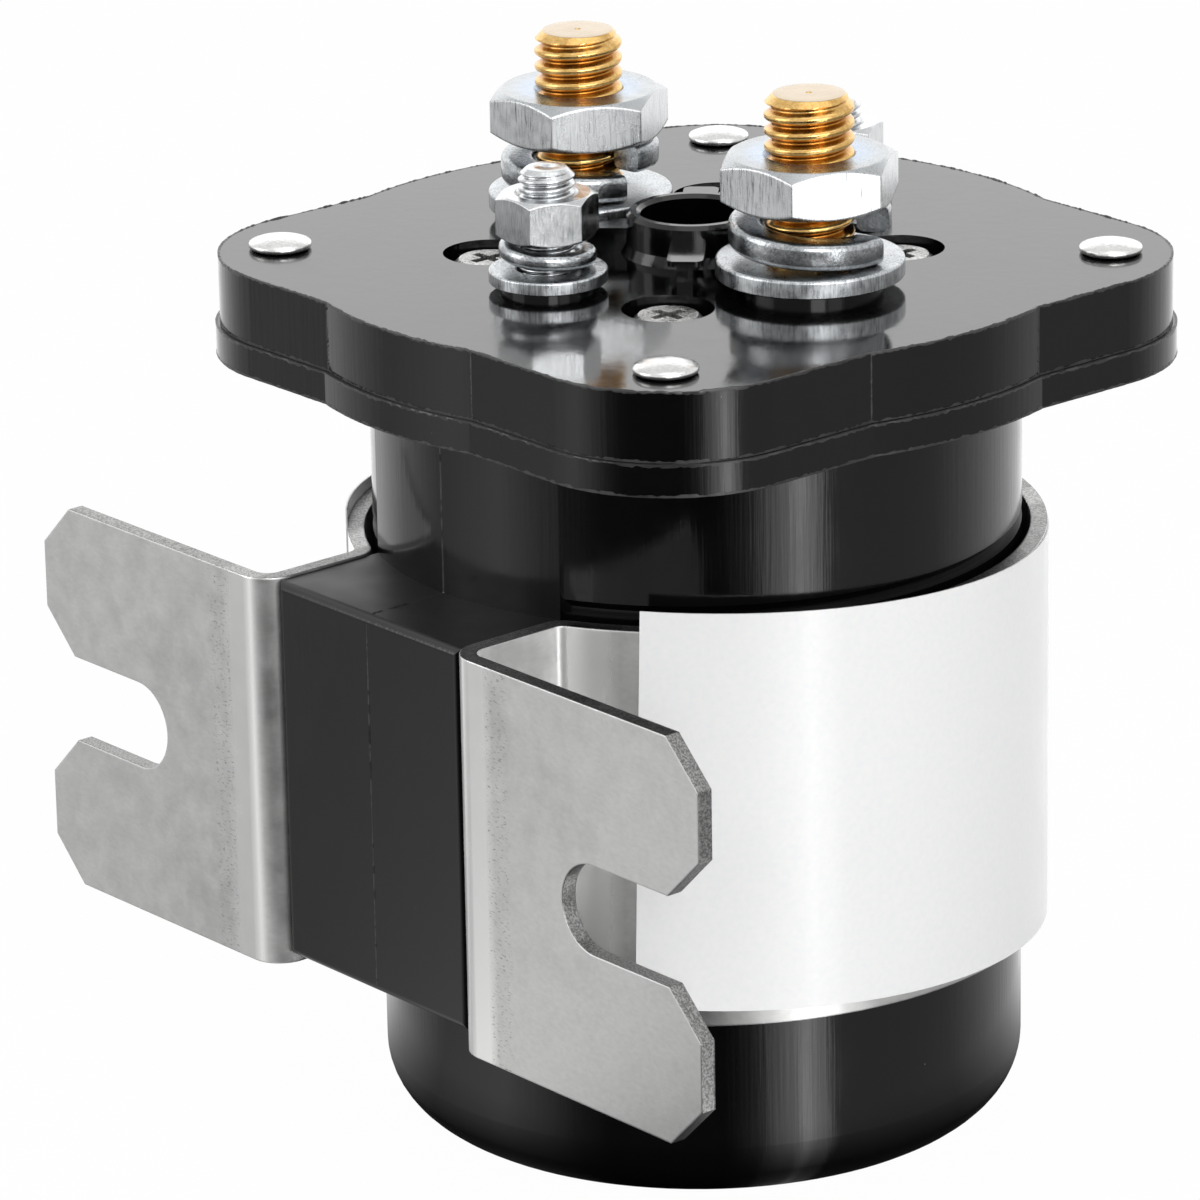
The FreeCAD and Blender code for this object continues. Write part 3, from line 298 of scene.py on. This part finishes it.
def black_moulding():
    """Black thermoset from a polished mould: mirror-like level faces, satin walls, drag lines, fine dust."""
    material, tree, shader = finish_of("black_moulding", IOR=1.5)
    place = add(tree, "TexCoord", output="Object")
    normal = add(tree, "NewGeometry", output="Normal")
    level = add(tree, "SeparateXYZ", (normal,), output="Z")
    top = add(tree, "MapRange", (level, 0.6, 0.95, 0.0, 1.0))
    # Cloudy gloss: the eye sees the reflection soften here and there
    cloud = grain(tree, 4.55, detail=5.0)
    walls = add(tree, "MapRange", (cloud, 0.35, 0.7, 0.105, 0.182))
    polish = add(tree, "MapRange", (cloud, 0.35, 0.7, 0.07, 0.15))
    # The pad's top, below 57 mm, is matt where the cover's is polished
    height = add(tree, "SeparateXYZ", (place,), output="Z")
    matt = add(tree, "MapRange", (height, 57 * MM, 60 * MM, 0.32, 0.0))
    tops = add(tree, "Math", (polish, matt), operation="ADD")
    tree.links.new(add(tree, "Mix", (top, walls, tops)), shader.inputs["Roughness"])
    # Dust: sparse pale specks, about a tenth of a millimetre across and some 2.4 mm apart
    cell = add(tree, "TexVoronoi", {"Vector": place, "Scale": 1 / (2.38 * MM)})
    speck = add(tree, "MapRange", (cell, 0.018, 0.03, 1.0, 0.0))
    sparse = add(tree, "MapRange", (grain(tree, 11.1, detail=1.0), 0.52, 0.6, 0.0, 0.55))
    dusty = add(tree, "Math", (speck, sparse), operation="MULTIPLY")
    colour = add(tree, "Mix", (dusty, ink("060607"), ink("8c8c8c")), data_type="RGBA")
    tree.links.new(colour, shader.inputs["Base Color"])
    # Upright drag marks on the walls from leaving the mould, and a slight orange peel all over
    drag = grain(tree, 0.385, stretch=(1, 1, 0.03), detail=2.0)
    wall = add(tree, "Math", (1.0, top), operation="SUBTRACT")
    marks = add(tree, "Math", (drag, wall), operation="MULTIPLY")
    relief(tree, shader, (marks, 0.012), (grain(tree, 1.43, detail=2.0), 0.006))
    return material


def plain_plastic(name, colour, rough):
    """Moulded plastic without polish: slightly cloudy, with a soft sheen."""
    material, tree, shader = finish_of(name, IOR=1.52)
    cloud = grain(tree, 2.5)
    share = add(tree, "MapRange", (cloud, 0.3, 0.7, 0.0, 0.12))
    clouded = add(tree, "Mix", (share, ink(colour), ink("707070")), data_type="RGBA")
    tree.links.new(clouded, shader.inputs["Base Color"])
    tree.links.new(add(tree, "MapRange", (cloud, 0.3, 0.7, rough, rough * 1.4)), shader.inputs["Roughness"])
    relief(tree, shader, (grain(tree, 0.333), 0.01))
    return material


def metal(name, light, dark, gloss, width=1.11, stretch=(1, 1, 1), scuff=0.02, edge=0.0,
          contrast=(0.3, 0.7)):
    """Worked metal: tone and gloss wander with the grain, and scuffs catch the light along it.

    Gloss is the range of the roughness, contrast the part of the grain's range that the tone follows. The
    grain's width, the scuffs' depth and the radius that rounds sharp edges are in millimetres."""
    material, tree, shader = finish_of(name, Metallic=1.0)
    fine = grain(tree, width, stretch)
    patch = grain(tree, 7 * width)
    both = add(tree, "Mix", (0.4, fine, patch))
    share = add(tree, "MapRange", (both, *contrast, 0.0, 1.0))
    colour = add(tree, "Mix", (share, ink(dark), ink(light)), data_type="RGBA")
    tree.links.new(colour, shader.inputs["Base Color"])
    tree.links.new(add(tree, "MapRange", (patch, 0.3, 0.7, *gloss)), shader.inputs["Roughness"])
    if edge:
        tree.links.new(add(tree, "Bevel", (edge * MM,), samples=6), shader.inputs["Normal"])
    relief(tree, shader, (fine, scuff))
    return material, tree, shader


def main_axis_distance(tree):
    """Distance from the nearer main stud's axis, in metres."""
    place = add(tree, "TexCoord", output="Object")
    even = add(tree, "VectorMath", (place,), operation="ABSOLUTE")
    flat = add(tree, "VectorMath", (even, (1, 1, 0)), operation="MULTIPLY")
    return add(tree, "VectorMath", (flat, (MAIN_X * MM, 0, 0)), operation="DISTANCE")


def nut_zinc():
    """Bright zinc on the main nuts: upright file marks, painted shade on the faces that look up, and a
    bluish bloom round the bore.
    """
    material, tree, shader = metal("nut_zinc", "e6e8e9", "c6c8ca", (0.22, 0.34), 0.192, (1, 1, 0.1),
                                   scuff=0.008, edge=0.3)
    base = shader.inputs["Base Color"].links[0].from_socket
    # Painted shade: faces that look up get a darker colour
    normal = add(tree, "NewGeometry", output="Normal")
    level = add(tree, "SeparateXYZ", (normal,), output="Z")
    top = add(tree, "MapRange", (level, 0.6, 0.9, 0.0, 0.9))
    top_painted_shade = add(tree, "Mix", (top, base, ink("a9acae")), data_type="RGBA")
    # The bloom fades out between 4.2 and 6.4 mm from the stud's axis
    bloom = add(tree, "MapRange", (main_axis_distance(tree), 4.2 * MM, 6.4 * MM, 0.7, 0.0))
    blue = add(tree, "Mix", (bloom, top_painted_shade, ink("aebfd6")), data_type="RGBA")
    # File marks come in patches
    scratches = grain(tree, 0.154, stretch=(1, 1, 0.06), detail=6.0, rough=0.7)
    marks = add(tree, "MapRange", (scratches, 0.52, 0.66, 0.0, 0.9))
    patches = add(tree, "MapRange", (grain(tree, 6.25, detail=2.0), 0.4, 0.62, 0.15, 1.0))
    filed = add(tree, "Math", (marks, patches), operation="MULTIPLY")
    colour = add(tree, "Mix", (filed, blue, ink("4c4f53")), data_type="RGBA")
    tree.links.new(colour, shader.inputs["Base Color"])
    return material


def stud_brass():
    """Yellow plated stud: bright crests, brown painted shade with some grime deep in the thread's roots, and
    a pale satin sawn end.
    """
    material, tree, shader = metal("stud_brass", "e9c583", "bf9048", (0.15, 0.28), 0.3125)
    base = shader.inputs["Base Color"].links[0].from_socket
    place = add(tree, "TexCoord", output="Object")
    height = add(tree, "SeparateXYZ", (place,), output="Z")
    # The thread's roots lie within 3.8 mm of the axis, and are darkened brown there: painted shade, with
    # some grime. The bevelled end lies within it too, and stays bright.
    root = add(tree, "MapRange", (main_axis_distance(tree), 3.4 * MM, 3.8 * MM, 0.85, 0.0))
    shank = add(tree, "MapRange", (height, (MAIN_TIP - 1.25) * MM, (MAIN_TIP - 0.85) * MM, 1.0, 0.0))
    deep = add(tree, "Math", (root, shank), operation="MULTIPLY")
    root_shade_and_grime = add(tree, "Mix", (deep, base, ink("a3681f")), data_type="RGBA")
    sawn = add(tree, "MapRange", (height, (MAIN_TIP - 0.03) * MM, (MAIN_TIP + 0.01) * MM, 0.0, 1.0))
    colour = add(tree, "Mix", (sawn, root_shade_and_grime, ink("b3a288")), data_type="RGBA")
    tree.links.new(colour, shader.inputs["Base Color"])
    return material


def strip(tree, across, start, full, fading, end):
    """A soft-edged strip: 0 to 1 between start and full, and back to 0 between fading and end, in mm."""
    rise = add(tree, "MapRange", (across, start * MM, full * MM, 0.0, 1.0))
    fall = add(tree, "MapRange", (across, fading * MM, end * MM, 1.0, 0.0))
    return add(tree, "Math", (rise, fall), operation="MULTIPLY")


def strap_steel():
    """Grey satin sheet: level rolling grain, cloudy smudges, darker sheared edges, a painted highlight on
    the bends and dashes beside them.
    """
    material, tree, shader = metal("strap_steel", "dadad9", "cacac9", (0.34, 0.43), 0.385, (0.5, 0.5, 1),
                                   scuff=0.004, edge=0.25)
    base = shader.inputs["Base Color"].links[0].from_socket
    smudge = add(tree, "MapRange", (grain(tree, 13.3, detail=7.0, rough=0.7), 0.52, 0.75, 0.0, 0.3))
    worn = add(tree, "Mix", (smudge, base, ink("8e8e8d")), data_type="RGBA")
    # Across is the distance from the middle plane, and front is 1 on the tabs' side of the legs
    place = add(tree, "TexCoord", output="Object")
    sideways = add(tree, "SeparateXYZ", (place,), output="X")
    across = add(tree, "Math", (sideways,), operation="ABSOLUTE")
    forward = add(tree, "SeparateXYZ", (place,), output="Y")
    front = add(tree, "MapRange", (forward, 36.5 * MM, 37 * MM, 0.0, 1.0))
    # A painted highlight on the bends between legs and tabs: a near-white colour there, with less roughness
    bend = strip(tree, across, 14.2, 14.8, 17.6, 18.8)
    bright = add(tree, "Mix", (bend, worn, ink("f4f4f3")), data_type="RGBA")
    smoother = add(tree, "MapRange", (bend, 0.0, 1.0, 1.0, 0.65))
    gloss = shader.inputs["Roughness"].links[0].from_socket
    eased = add(tree, "Math", (gloss, smoother), operation="MULTIPLY")
    tree.links.new(eased, shader.inputs["Roughness"])
    # The tool leaves dashes beside the bends
    speckle = grain(tree, 0.278, stretch=(0.5, 0.5, 1.6), detail=3.0, rough=0.6)
    dashes = add(tree, "MapRange", (speckle, 0.57, 0.66, 0.0, 0.6))
    beside = add(tree, "Math", (front, strip(tree, across, 17.6, 18.0, 20.4, 21.0)), operation="MULTIPLY")
    dashed = add(tree, "Math", (beside, dashes), operation="MULTIPLY")
    marked = add(tree, "Mix", (dashed, bright, ink("6d6d6c")), data_type="RGBA")
    # Sheared edges look up or down, or along the tabs: torn metal there is darker and speckled
    normal = add(tree, "NewGeometry", output="Normal")
    facing = add(tree, "VectorMath", (normal,), operation="ABSOLUTE")
    upward = add(tree, "SeparateXYZ", (facing,), output="Z")
    onward = add(tree, "SeparateXYZ", (facing,), output="Y")
    level = add(tree, "MapRange", (upward, 0.55, 0.8, 0.0, 1.0))
    turned_away = add(tree, "MapRange", (onward, 0.4, 0.7, 1.0, 0.0))
    past_bend = add(tree, "MapRange", (across, 19.5 * MM, 20 * MM, 0.0, 1.0))
    tab = add(tree, "Math", (past_bend, front), operation="MULTIPLY")
    tab_edge = add(tree, "Math", (turned_away, tab), operation="MULTIPLY")
    edge = add(tree, "Math", (level, tab_edge), operation="MAXIMUM")
    grit = add(tree, "MapRange", (grain(tree, 0.182, detail=2.0), 0.4, 0.62, 0.0, 1.0))
    torn = add(tree, "Mix", (grit, ink("6a6a69"), ink("9e9e9d")), data_type="RGBA")
    colour = add(tree, "Mix", (edge, marked, torn), data_type="RGBA")
    tree.links.new(colour, shader.inputs["Base Color"])
    return material


def label_film():
    """Blank white laminated paper: a clear glossy film over a faint fibre mottle."""
    material, tree, shader = finish_of("label_film", Coat_Weight=0.4, Coat_Roughness=0.06, IOR=1.45)
    fibre = add(tree, "MapRange", (grain(tree, 0.556, detail=6.0), 0.3, 0.7, 0.0, 1.0))
    colour = add(tree, "Mix", (fibre, ink("f0f1f2"), ink("f5f5f4")), data_type="RGBA")
    tree.links.new(colour, shader.inputs["Base Color"])
    gloss = add(tree, "MapRange", (grain(tree, 8.33), 0.3, 0.7, 0.28, 0.4))
    tree.links.new(gloss, shader.inputs["Roughness"])
    relief(tree, shader, (grain(tree, 3.85, detail=2.0), 0.003))
    return material


BLACK = black_moulding()
BRASS = stud_brass()
NUT = nut_zinc()
STRAP = strap_steel()
LABEL = label_film()
# Flash trimmed with a blade: a greyer, rougher line on the black
FLASH = plain_plastic("trimmed_flash", "242424", 0.3)
# Zinc with upright file marks on the flat washers, smoother and darker on the spring washers
ZINC = metal("washer_zinc", "cdd0d2", "85888b", (0.24, 0.36), 0.179, (1, 1, 0.12), scuff=0.01,
             contrast=(0.38, 0.6))[0]
SPRING = metal("spring_zinc", "c6c9cb", "6f7275", (0.16, 0.3), 0.278)[0]
# Bright zinc on the coil studs and their nuts, with fine upright marks
COIL_ZINC = metal("coil_stud_zinc", "d8dadb", "aeb0b2", (0.14, 0.26), 0.154, (1, 1, 0.15), scuff=0.008,
                  edge=0.12)[0]
# Pressed steel rivets, nearly white, and steel screws with worn, scuffed heads
RIVET = metal("rivet_steel", "e4e4e3", "c8c8c7", (0.18, 0.3), 0.3125)[0]
SCREW = metal("screw_steel", "d8d8d6", "5a5a58", (0.2, 0.38), 0.278, scuff=0.08, edge=0.12,
              contrast=(0.35, 0.6))[0]
# Inside the can, magnet iron: annealed to a dull, cloudy grey
IRON = metal("soft_iron", "a9a8a4", "7b7a77", (0.35, 0.5))[0]
# Enamelled winding wire: brown and glossy, its turns drawn as level lines
COPPER = metal("enamelled_copper", "b4622c", "7c3b18", (0.25, 0.4), 0.385, (0.05, 0.05, 1))[0]
# Rolled copper bar of the contact bridge: pink and satin
BAR = metal("copper_bar", "c9835a", "9a5735", (0.25, 0.4))[0]
# Silver alloy contact tips: white, softly blurred
SILVER = metal("silver_alloy", "dcdad4", "b9b7b0", (0.2, 0.35))[0]
# Natural nylon of the bobbin and the bush: off-white, without polish
NYLON = plain_plastic("bobbin_nylon", "c9c4b4", 0.4)

# The material of each construction node, by its name without the side or end
FINISHES = {
    "housing": BLACK, "cover": BLACK, "corner_rivets": RIVET, "frame_screws": SCREW,
    "main_stud": BRASS, "coil_stud": COIL_ZINC, "main_nut": NUT, "coil_nut": COIL_ZINC,
    "main_flat_washer": ZINC, "coil_flat_washer": ZINC, "main_spring_washer": SPRING,
    "coil_spring_washer": SPRING, "mounting_strap": STRAP, "label": LABEL, "magnet_yoke": IRON,
    "pole_plate": IRON, "pole_piece": IRON, "plunger": IRON, "plunger_rod": SCREW, "retaining_clip": SCREW,
    "coil_bobbin": NYLON, "bridge_insulator": NYLON, "coil_winding": COPPER, "coil_leads": COPPER,
    "return_spring": SPRING, "contact_spring": SPRING, "contact_bridge": BAR,
    "moving_contact_tips": SILVER, "fixed_contact_tips": SILVER,
}
for name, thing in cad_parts.items():
    kind = name if name in FINISHES else name.rsplit("_", 1)[0]
    thing.data.materials.clear()
    thing.data.materials.append(FINISHES[kind])


# Pieces that stand for construction nodes or lie on them

def fit(piece, slot, *nodes):
    """Let a piece ride on the fixed body and stand for the nodes named. The slot is not used."""
    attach(piece, "root")
    if nodes:
        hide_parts(*nodes)


for side, x, split in (("left", -MAIN_X, 202.0), ("right", MAIN_X, 176.0)):
    stud = threaded_stud((x, 0), MAIN_TIP, radius=3.97, pitch=1.411, depth=0.66, bevel=0.8, mark_depth=0.1)
    fit(mesh_piece("threaded_main_stud_" + side, *stud, BRASS, smooth=50), "stud_brass", "main_stud_" + side)
    outline = washer_outline(bore=4.22, outside=8.36, low=MAIN_WASHER_LOW, high=MAIN_WASHER_HIGH, edge=0.3)
    flat = turned(outline, (x, 0), segments=160)
    fit(mesh_piece("stamped_main_washer_" + side, *flat, ZINC), "zinc_plate", "main_flat_washer_" + side)
    coil = split_washer((x, 0), bore=4.18, width=3.0, thickness=2.5, low=MAIN_WASHER_HIGH, rise=2.45,
                        split=split, edge=0.65)
    piece = mesh_piece("split_main_washer_" + side, *coil, SPRING, smooth=50)
    fit(piece, "zinc_plate", "main_spring_washer_" + side)

for end, y in (("front", -COIL_Y), ("rear", COIL_Y)):
    stud = threaded_stud((0, y), COIL_TIP, radius=2.5, pitch=0.8, depth=0.42, bevel=0.7, mark_depth=0.05)
    piece = mesh_piece("threaded_coil_stud_" + end, *stud, COIL_ZINC, smooth=50)
    fit(piece, "zinc_plate", "coil_stud_" + end)
    outline = washer_outline(bore=2.75, outside=5.26, low=COIL_WASHER_LOW, high=COIL_WASHER_HIGH, edge=0.2)
    flat = turned(outline, (0, y), segments=128)
    fit(mesh_piece("stamped_coil_washer_" + end, *flat, ZINC), "zinc_plate", "coil_flat_washer_" + end)
    coil = split_washer((0, y), bore=2.71, width=1.6, thickness=1.5, low=COIL_WASHER_HIGH, rise=1.35,
                        split=320.0, edge=0.6)
    piece = mesh_piece("split_coil_washer_" + end, *coil, SPRING, smooth=50)
    fit(piece, "zinc_plate", "coil_spring_washer_" + end)

# Rivets: an upset tail below the flange, the shank, and a head whose rolled rim stands a hair off the cover
RIVET_TAIL = [(0.001, 70.42), (2.2, 70.42)] + arc((2.2, 70.72), 0.3, 270, 360) + [(2.5, 71.38), (1.6, 71.38)]
RIVET_RIM = [(1.6, 80.5), (2.35, 80.66)] + arc((2.5, 81.0), 0.35, 285, 405)
RIVET_CROWN = [(2.3, 81.42), (1.6, 81.62), (0.9, 81.74), (0.001, 81.78)]
rivet_places = [(a * RIVET_PLACE, b * RIVET_PLACE) for a in (-1, 1) for b in (-1, 1)]
rivet_outline = RIVET_TAIL + RIVET_RIM + RIVET_CROWN
rivets = joined(*[turned(rivet_outline, place, segments=72) for place in rivet_places])
fit(mesh_piece("crowned_rivets", *rivets, RIVET, smooth=45), "rivet_steel", "corner_rivets")

# Flash left along the cover's top edge, on both sides of the seam and along the flange's lower edge
flash = joined(flash_ring(COVER_TOP, 0.0, seed=11, height=0.13, reach=0.045),
               flash_ring(SEAM, FLANGE_LIP, seed=23, height=0.03, reach=0.025),
               flash_ring(SEAM + 0.02, 0.0, seed=31, height=0.07, reach=0.035, hang=1),
               flash_ring(FLANGE_BOTTOM, FLANGE_LIP, seed=47, height=-0.05, reach=0.04, hang=1))
fit(mesh_piece("edge_flash", *flash, FLASH, smooth=80), "black_moulding")

# The mould's parting line: down the neck, over the pad's top and its rounded edge, and down the pad's face.
# Each point has the way that the line stands out there.
route = [((0, NECK_RADIUS, FLANGE_BOTTOM - 0.1), (0, 1, 0)),
         ((0, NECK_RADIUS, PAD_TOP), (0, 0.7, 0.7)),
         ((0, PAD_FACE - PAD_ROUND, PAD_TOP), (0, 0.3, 0.95)),
         ((0, PAD_FACE, PAD_TOP - PAD_ROUND), (0, 0.95, 0.3)),
         ((0, PAD_FACE, PAD_BOTTOM + PAD_ROUND), (0, 1, 0))]
line = ridge([point for point, way in route], (1, 0, 0), [way for point, way in route],
             width=0.24, height=0.13, seed=5)
fit(mesh_piece("parting_line", *line, FLASH, smooth=80), "black_moulding")

# Upright crease lines where the cover's round bulges leave its straight sides
leave = math.sqrt(COVER_ROUND ** 2 - COVER_SIDE ** 2)
creases = []
for side in range(4):
    for sign in (-1, 1):
        turn = side * TURN / 4
        x, y = COVER_SIDE + 0.01, sign * leave
        foot = (x * math.cos(turn) - y * math.sin(turn), x * math.sin(turn) + y * math.cos(turn))
        outward, along = (math.cos(turn), math.sin(turn), 0), (-math.sin(turn), math.cos(turn), 0)
        creases.append(ridge([foot + (SEAM + 0.15,), foot + (COVER_TOP - 0.1,)], along, [outward, outward],
                             width=0.22, height=0.09, seed=61 + 2 * side + sign))
fit(mesh_piece("crease_lines", *joined(*creases), FLASH, smooth=80), "black_moulding")


# Camera, as solved from the photograph: place in metres, angles in degrees
AZIMUTH, ELEVATION, ROLL = math.radians(229.689), math.radians(18.965), math.radians(-1.030)
CAMERA_PLACE = (-0.4585, 0.4007, 0.2569)
LENS = 212.5

back = Vector((math.sin(AZIMUTH) * math.cos(ELEVATION), -math.cos(AZIMUTH) * math.cos(ELEVATION),
               math.sin(ELEVATION)))
right = (-back).cross(Vector((0, 0, 1))).normalized()
up = right.cross(-back)
rolled_right = right * math.cos(ROLL) + up * math.sin(ROLL)
rolled_up = up * math.cos(ROLL) - right * math.sin(ROLL)
stance = Matrix((rolled_right, rolled_up, back)).transposed().to_4x4()
camera = bpy.data.objects.new("camera", bpy.data.cameras.new("camera"))
bpy.context.scene.collection.objects.link(camera)
camera.data.lens = LENS
camera.data.sensor_width = 36
camera.data.clip_start, camera.data.clip_end = 0.01, 20
camera.matrix_world = Matrix.Translation(Vector(CAMERA_PLACE)) @ stance
bpy.context.scene.camera = camera

# Floor and lamps are set out by degrees to the left (-) and right (+) of the camera, about the can's axis
CAMERA_ANGLE = math.atan2(CAMERA_PLACE[1], CAMERA_PLACE[0])

# A painted reflection that the floor gives off in gloss alone: its tone in each direction, as a share of the
# full glow
FLOOR_TONES = (
    # Behind the object and round to its left: painted light for the can's left side
    (-180, 0.3), (-130, 0.2), (-97, 0.085), (-71, 0.18), (-57, 0.11), (-44, 0.03),
    # The dark front, then a painted streak that stands for a tall lamp, with its soft shoulders
    (-34, 0.008), (8, 0.004), (14, 0.03), (19.5, 0.06), (22, 0.17), (28, 0.34), (33, 0.45), (36, 1.0),
    (38.5, 0.55), (43.5, 0.42), (46, 0.09),
    # The dim right side, brighter again towards the back
    (70, 0.08), (90, 0.08), (130, 0.2), (180, 0.3),
)


def pale_floor():
    """A white floor that keeps a faint shadow. Gloss sees a painted reflection glowing on it: pale at the
    back, dim in front and streaked.
    """
    material = bpy.data.materials.new("pale_floor")
    material.use_nodes = True
    tree = material.node_tree
    tree.nodes.clear()
    matt = add(tree, "BsdfDiffuse", {"Color": (0.9, 0.9, 0.9, 1)})
    white = add(tree, "Emission", {"Color": (1, 1, 1, 1), "Strength": 1.0})
    seen = add(tree, "MixShader", (0.98, matt, white))
    where = add(tree, "TexCoord", output="Object")
    # The can's wall mirrors the floor from half a radius off its axis, so the directions start there
    turn = add(tree, "Mapping", {"Vector": where, "Rotation": (0, 0, -CAMERA_ANGLE),
                                 "Location": (-CAN_RADIUS * MM / 2, 0, 0)})
    share = add(tree, "TexGradient", (turn,), output="Fac", gradient_type="RADIAL")
    tones = add(tree, "ValToRGB", (share,))
    stops = tones.node.color_ramp.elements
    for index, (degrees, value) in enumerate(FLOOR_TONES):
        place = 0.5 + degrees / 360
        stop = stops[index] if index < 2 else stops.new(place)
        stop.position = place
        stop.color = (value, value, value, 1)
    # The painted glow grows from 0.2 at the can's foot to 5 at 47 mm from the axis
    away = add(tree, "VectorMath", (where,), operation="LENGTH")
    painted_glow = add(tree, "MapRange", (away, 29 * MM, 47 * MM, 0.2, 5.0))
    painted_reflection = add(tree, "Emission", {"Color": tones, "Strength": painted_glow})
    lit = add(tree, "MixShader", (add(tree, "LightPath", output="Is Camera Ray"), matt, seen))
    glossy = add(tree, "MixShader", (add(tree, "LightPath", output="Is Glossy Ray"), lit, painted_reflection))
    final = add(tree, "MixShader", (add(tree, "LightPath", output="Is Transmission Ray"), glossy, white))
    add(tree, "OutputMaterial", {"Surface": final})
    return material


floor_mesh = bpy.data.meshes.new("floor")
floor_mesh.from_pydata([(-4, -4, 0), (4, -4, 0), (4, 4, 0), (-4, 4, 0)], [], [(0, 1, 2, 3)])
floor_mesh.materials.append(pale_floor())
floor = bpy.data.objects.new("floor", floor_mesh)
floor.location = (0, 0, -0.0002)
bpy.context.scene.collection.objects.link(floor)


def soft_lamp(name, degrees, rise, distance, width, height, brightness):
    """A soft box aimed at the object, rise degrees up. Sizes are in metres, and brightness 1 is white."""
    data = bpy.data.lights.new(name, "AREA")
    data.shape = "RECTANGLE"
    data.size, data.size_y = width, height
    data.energy = brightness * width * height * math.pi
    lamp = bpy.data.objects.new(name, data)
    angle = CAMERA_ANGLE + math.radians(degrees)
    aim = Vector((0, 0, 0.06))
    tilt = math.radians(rise)
    away = Vector((math.cos(angle) * math.cos(tilt), math.sin(angle) * math.cos(tilt), math.sin(tilt)))
    lamp.location = aim + away * distance
    lamp.rotation_mode = "QUATERNION"
    lamp.rotation_quaternion = away.to_track_quat("Z", "Y")
    lamp.visible_camera = False
    bpy.context.scene.collection.objects.link(lamp)


soft_lamp("back_wash", 180, 20, distance=1.3, width=2.2, height=0.8, brightness=0.65)
soft_lamp("front_box", 12, 22, distance=1.0, width=0.36, height=0.42, brightness=7.5)
soft_lamp("right_box", 38, 22, distance=1.0, width=0.4, height=0.7, brightness=2.2)
soft_lamp("left_box", -78, 22, distance=1.0, width=0.6, height=0.7, brightness=2.2)
soft_lamp("top_box", 60, 78, distance=1.1, width=0.9, height=0.9, brightness=0.7)

# The world is white where it is seen, in gloss too, and lights matt faces at 0.3
world = bpy.data.worlds.new("studio")
bpy.context.scene.world = world
world.use_nodes = True
sky = world.node_tree
sky.nodes.clear()
shown = add(sky, "LightPath", output="Is Camera Ray")
for ray in ("Is Glossy Ray", "Is Transmission Ray"):
    shown = add(sky, "Math", (shown, add(sky, "LightPath", output=ray)), operation="MAXIMUM")
strength = add(sky, "MapRange", (shown, 0.0, 1.0, 0.3, 1.0))
ground = add(sky, "Background", {"Color": (1, 1, 1, 1), "Strength": strength})
add(sky, "OutputWorld", {"Surface": ground})

bpy.context.scene.view_settings.view_transform = "Standard"
